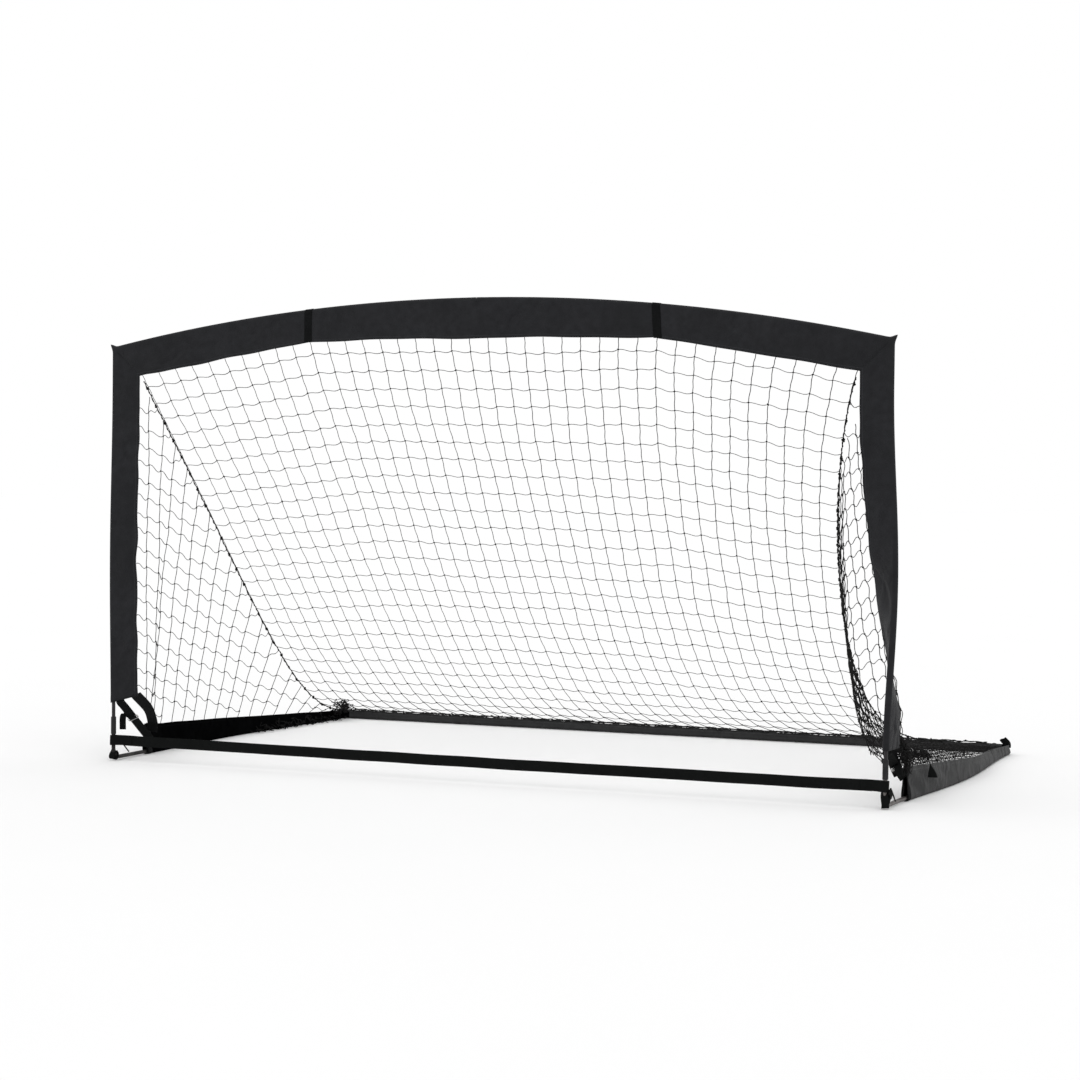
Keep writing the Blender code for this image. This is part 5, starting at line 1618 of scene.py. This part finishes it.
    def seam_cord(self, side: Side) -> None:
        """Lacing between two panels: a straight cord and a second one wound round it, knotted at each row."""
        t = np.linspace(0.006, 0.955, 420)
        core = self.lines.seam(side, t)
        tangent = unit(np.gradient(core, axis=0))
        across = unit(np.cross(tangent, np.array([1.0, 0.0, 0.0])))
        up = np.cross(across, tangent)
        run = running_length(core[:, None], False)
        core = core + 0.0016 * waves(run / 0.12, 0.0 * run, 111)[:, None] * across
        turn = math.tau * (run / 0.030 + 0.35 * waves(run / 0.20, 0.0 * run, 112))
        wind = 0.0019 * (np.cos(turn)[:, None] * across + np.sin(turn)[:, None] * up)
        places = np.interp(np.arange(0.030, run[-1], 0.074), run, np.arange(len(run)))
        knots = core[places.astype(int)]
        piece = tube_object(f"seam_lacing_{side.value}", [core, core + wind], 0.0013, 5, np.array([1.0, 0.11, 0.07]),
                            np.concatenate([knots, knots + np.array([0.0, 0.002, -0.0035])]), 0.0042)
        self.wardrobe.dress(piece, Wardrobe.SEAM)
        self.gather(piece, side)
        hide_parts(f"seam_cord_{side.value}")

    def foot_cord(self) -> None:
        """Bunched lower edge of the back net, laced along the rear cover: three loose strands and small knots."""
        lines = self.lines
        x = np.linspace(-1.150, 1.128, 420)
        paths = []
        for k in range(3):
            y = lines.rear - 0.006 + 0.0045 * waves(x / 0.06, np.full(len(x), float(k)), 121 + k)
            z = 0.0335 + 0.0022 * waves(x / 0.05, np.full(len(x), 2.0 * k), 131 + k)
            paths.append(np.stack([x, y, z], axis=1))
        knots = paths[0][::7]
        piece = tube_object("back_net_foot", paths, 0.0011, 4, np.array([0.0, 0.4, 1.0]), knots, 0.0036)
        self.wardrobe.dress(piece, Wardrobe.TWINE)
        self.gather(piece)

    def tangle(self, name: str, ends: list[tuple[np.ndarray, np.ndarray]], swing: float, seed: int, side: Side,
               floor: float = 0.0046) -> bpy.types.Object:
        """Loose net strands between pairs of places, each swinging about its straight line by sums of sine waves.

        Args:
            name: Name of the piece.
            ends: First and last place of each strand.
            swing: How far a strand swings.
            seed: Picks the pattern.
            side: The frame the piece rides on.
            floor: Lowest height.

        Returns:
            The object.
        """
        s = np.linspace(0.0, 1.0, 30)
        paths = []
        for k, (a, b) in enumerate(ends):
            room = np.sin(math.pi * s) ** 0.6
            offset = np.stack([waves(s * 2.6, np.full(30, k * 1.37), seed), waves(s * 2.9, np.full(30, k * 1.11),
                              seed + 1), waves(s * 2.4, np.full(30, k * 1.73), seed + 2)], axis=1)
            path = a + (b - a) * s[:, None] + swing * room[:, None] * offset
            path[:, 2] = np.maximum(path[:, 2], floor)
            paths.append(path)
        knots = np.concatenate([p[4:-4:6] for p in paths])
        piece = tube_object(name, paths, self.strand, 4, np.array([0.61, 0.37, 0.21]), knots, self.knot * 1.1)
        self.wardrobe.dress(piece, Wardrobe.TWINE)
        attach(piece, side.frame)
        return piece

    def front_bunch(self) -> None:
        """Slack net gathered from the right upright's foot down the ground cover's front, and draped along its top."""
        lines = self.lines
        k = np.arange(30)
        first = np.stack([1.209 + 0.008 * np.sin(k * 2.1), -0.664 + 0.044 * np.sin(k * 0.7) ** 2,
                          0.180 - 0.020 * np.cos(k * 1.7) ** 2], axis=1)
        last = np.stack([1.216 + 0.008 * np.sin(k * 1.3), -0.572 + 0.016 * np.sin(k * 0.9),
                         0.074 + 0.050 * np.cos(k * 2.3) ** 2], axis=1)
        self.tangle("net_bunch_front_right", list(zip(first, last)), 0.008, 141, Side.RIGHT)
        k = np.arange(26)
        y = -0.600 + 0.0115 * k
        first = np.stack([1.196 + 0.010 * np.sin(k * 1.9), y, 0.150 - 0.0017 * k + 0.006 * np.sin(k * 2.3)], axis=1)
        ahead = y + 0.110
        last = np.stack([lines.rail_x(Side.RIGHT, ahead) - 0.006 - 0.0016 * k, ahead,
                         lines.base_z(ahead) + 0.010 + 0.012 * np.cos(k * 2.7) ** 2], axis=1)
        self.tangle("net_slack_right", list(zip(first, last)), 0.010, 151, Side.RIGHT)

    def rear_bunch(self) -> None:
        """Net bunched in the rear corners, and slack that lies on the ground along the left ground cover."""
        lines = self.lines
        ends = []
        for k in range(18):
            a = np.array([-1.120 - 0.050 * math.cos(k * 1.3) ** 2, 0.590 + 0.014 * (k % 5), 0.040 + 0.016 * (k % 3)])
            b = np.array([-1.166 - 0.020 * math.cos(k * 1.9), 0.722 - 0.010 * (k % 4), 0.030 + 0.010 * (k % 4)])
            ends.append((a, b))
        self.tangle("net_bunch_rear_left", ends, 0.013, 161, Side.LEFT)
        ends = []
        for k in range(18):
            y = 0.12 + 0.031 * k
            x = float(lines.rail_x(Side.LEFT, np.array(y))) + 0.011
            a = np.array([x, y, 0.012 + 0.010 * (k % 3)])
            b = np.array([x + 0.030 + 0.016 * math.sin(k * 2.2), y + 0.048, 0.004])
            ends.append((a, b))
        self.tangle("net_fringe_left", ends, 0.012, 171, Side.LEFT)


# ---------------------------------------------------------------- poles and the studio


@dataclass
class Hardware:
    """Poles, rails, fittings and pins that keep their frame shapes and get finishes of their own."""

    wardrobe: Wardrobe

    def dress(self, nodes: dict[str, bpy.types.Object]) -> None:
        """Repaints the frame nodes.

        Args:
            nodes: Frame nodes by name.
        """
        table = {"side_rail_left": Wardrobe.DARK_STEEL, "side_rail": Wardrobe.STEEL, "rear_bar_left": Wardrobe.STEEL,
                 "rear_bar_right": Wardrobe.STEEL, "upright_pole": Wardrobe.POLE, "crossbar_outer": Wardrobe.POLE,
                 "crossbar_inner": Wardrobe.POLE, "foot_socket": Wardrobe.MOULDED,
                 "corner_elbow": Wardrobe.MOULDED, "upright_ferrule": Wardrobe.BRIGHT,
                 "crossbar_ferrule": Wardrobe.BRIGHT, "crown_hinge_pin": Wardrobe.BRIGHT,
                 "rear_middle_pin": Wardrobe.BRIGHT, "top_hinge_pin": Wardrobe.BRIGHT,
                 "rear_hinge_pin": Wardrobe.BRIGHT}
        for name, node in nodes.items():
            for key, finish in table.items():
                if name.startswith(key):
                    self.wardrobe.repaint(node, finish)
                    LOG.info("node %s: %s", name, finish.name)
                    break


@dataclass
class Studio:
    """Pale floor, white surroundings, soft lights and the camera."""

    place: tuple[float, float, float] = (2.946, -7.178, 0.878)
    turn: float = math.radians(-23.15)
    pitch: float = math.radians(-1.5)
    roll: float = math.radians(0.603)
    lens: float = 83.21
    suns: tuple[tuple[str, tuple[float, float, float], float, float], ...] = (
        ("key_light", (3.5, -4.5, 5.0), 50.0, 0.42), ("fill_light", (-3.0, -3.0, 6.0), 70.0, 0.28),
        ("rear_light", (1.0, 5.0, 6.0), 70.0, 0.20))

    def build(self) -> None:
        """Sets up the camera, then floor and light."""
        self.camera()
        self.floor()
        self.light()

    def camera(self) -> None:
        """Camera whose axes come from its turn, pitch and roll."""
        data = bpy.data.cameras.new("camera")
        data.lens, data.sensor_width, data.clip_end = self.lens, 36.0, 200.0
        camera = bpy.data.objects.new("camera", data)
        bpy.context.scene.collection.objects.link(camera)
        forward = np.array([math.sin(self.turn) * math.cos(self.pitch), math.cos(self.turn) * math.cos(self.pitch),
                            math.sin(self.pitch)])
        right = np.array([math.cos(self.turn), -math.sin(self.turn), 0.0])
        up = np.cross(right, forward)
        across = math.cos(self.roll) * right + math.sin(self.roll) * up
        over = -math.sin(self.roll) * right + math.cos(self.roll) * up
        camera.matrix_world = Matrix([[across[k], over[k], -forward[k], self.place[k]] for k in range(3)]
                                     + [[0.0, 0.0, 0.0, 1.0]])
        bpy.context.scene.camera = camera

    def floor(self) -> None:
        """Wide pale floor with a faint unevenness."""
        half = 60.0
        grid = np.array([[[-half, -half, -0.0006], [half, -half, -0.0006]], [[-half, half, -0.0006],
                                                                               [half, half, -0.0006]]])
        floor = grid_object("floor", grid)
        for polygon in floor.data.polygons:
            if polygon.normal.z < 0.0:
                floor.data.flip_normals()
        material, w, shader = start_material("pale_floor")
        solid = w.add("ShaderNodeTexCoord").outputs["Object"]
        patches = w.add("ShaderNodeTexNoise", {"Vector": solid, "Scale": 1.3, "Detail": 3.0})
        base = w.blend_colours(patches.outputs[0], (0.830, 0.830, 0.830, 1.0), (0.842, 0.842, 0.842, 1.0))
        w.tree.links.new(base, shader.inputs["Base Color"])
        shader.inputs["Roughness"].default_value = 0.9
        shader.inputs["Specular IOR Level"].default_value = 0.0
        floor.data.materials.append(material)

    def light(self) -> None:
        """White surroundings and three wide, soft suns aimed at the middle of the goal."""
        world = bpy.data.worlds.new("studio")
        bpy.context.scene.world = world
        world.use_nodes = True
        world.node_tree.nodes["Background"].inputs["Color"].default_value = (1.0, 1.0, 1.0, 1.0)
        world.node_tree.nodes["Background"].inputs["Strength"].default_value = 1.0
        for name, place, breadth, power in self.suns:
            data = bpy.data.lights.new(name, "SUN")
            data.angle, data.energy = math.radians(breadth), power
            lamp = bpy.data.objects.new(name, data)
            aim = Vector((0.0, 0.0, 0.6)) - Vector(place)
            lamp.matrix_world = Matrix.Translation(place) @ aim.to_track_quat("-Z", "Y").to_matrix().to_4x4()
            bpy.context.scene.collection.objects.link(lamp)
        bpy.context.scene.view_settings.view_transform = "Standard"


def main() -> None:
    """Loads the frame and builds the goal's looks in order."""
    logging.basicConfig(level=logging.INFO, format="%(name)s: %(message)s", stream=sys.stdout)
    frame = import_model()
    lines = GoalLines()
    Studio().build()
    wardrobe = Wardrobe()
    Covers(lines, wardrobe).build()
    Straps(lines, wardrobe).build()
    Nets(lines, wardrobe).build()
    Hardware(wardrobe).dress(frame["nodes"])
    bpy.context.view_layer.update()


if __name__ == "__main__":
    main()
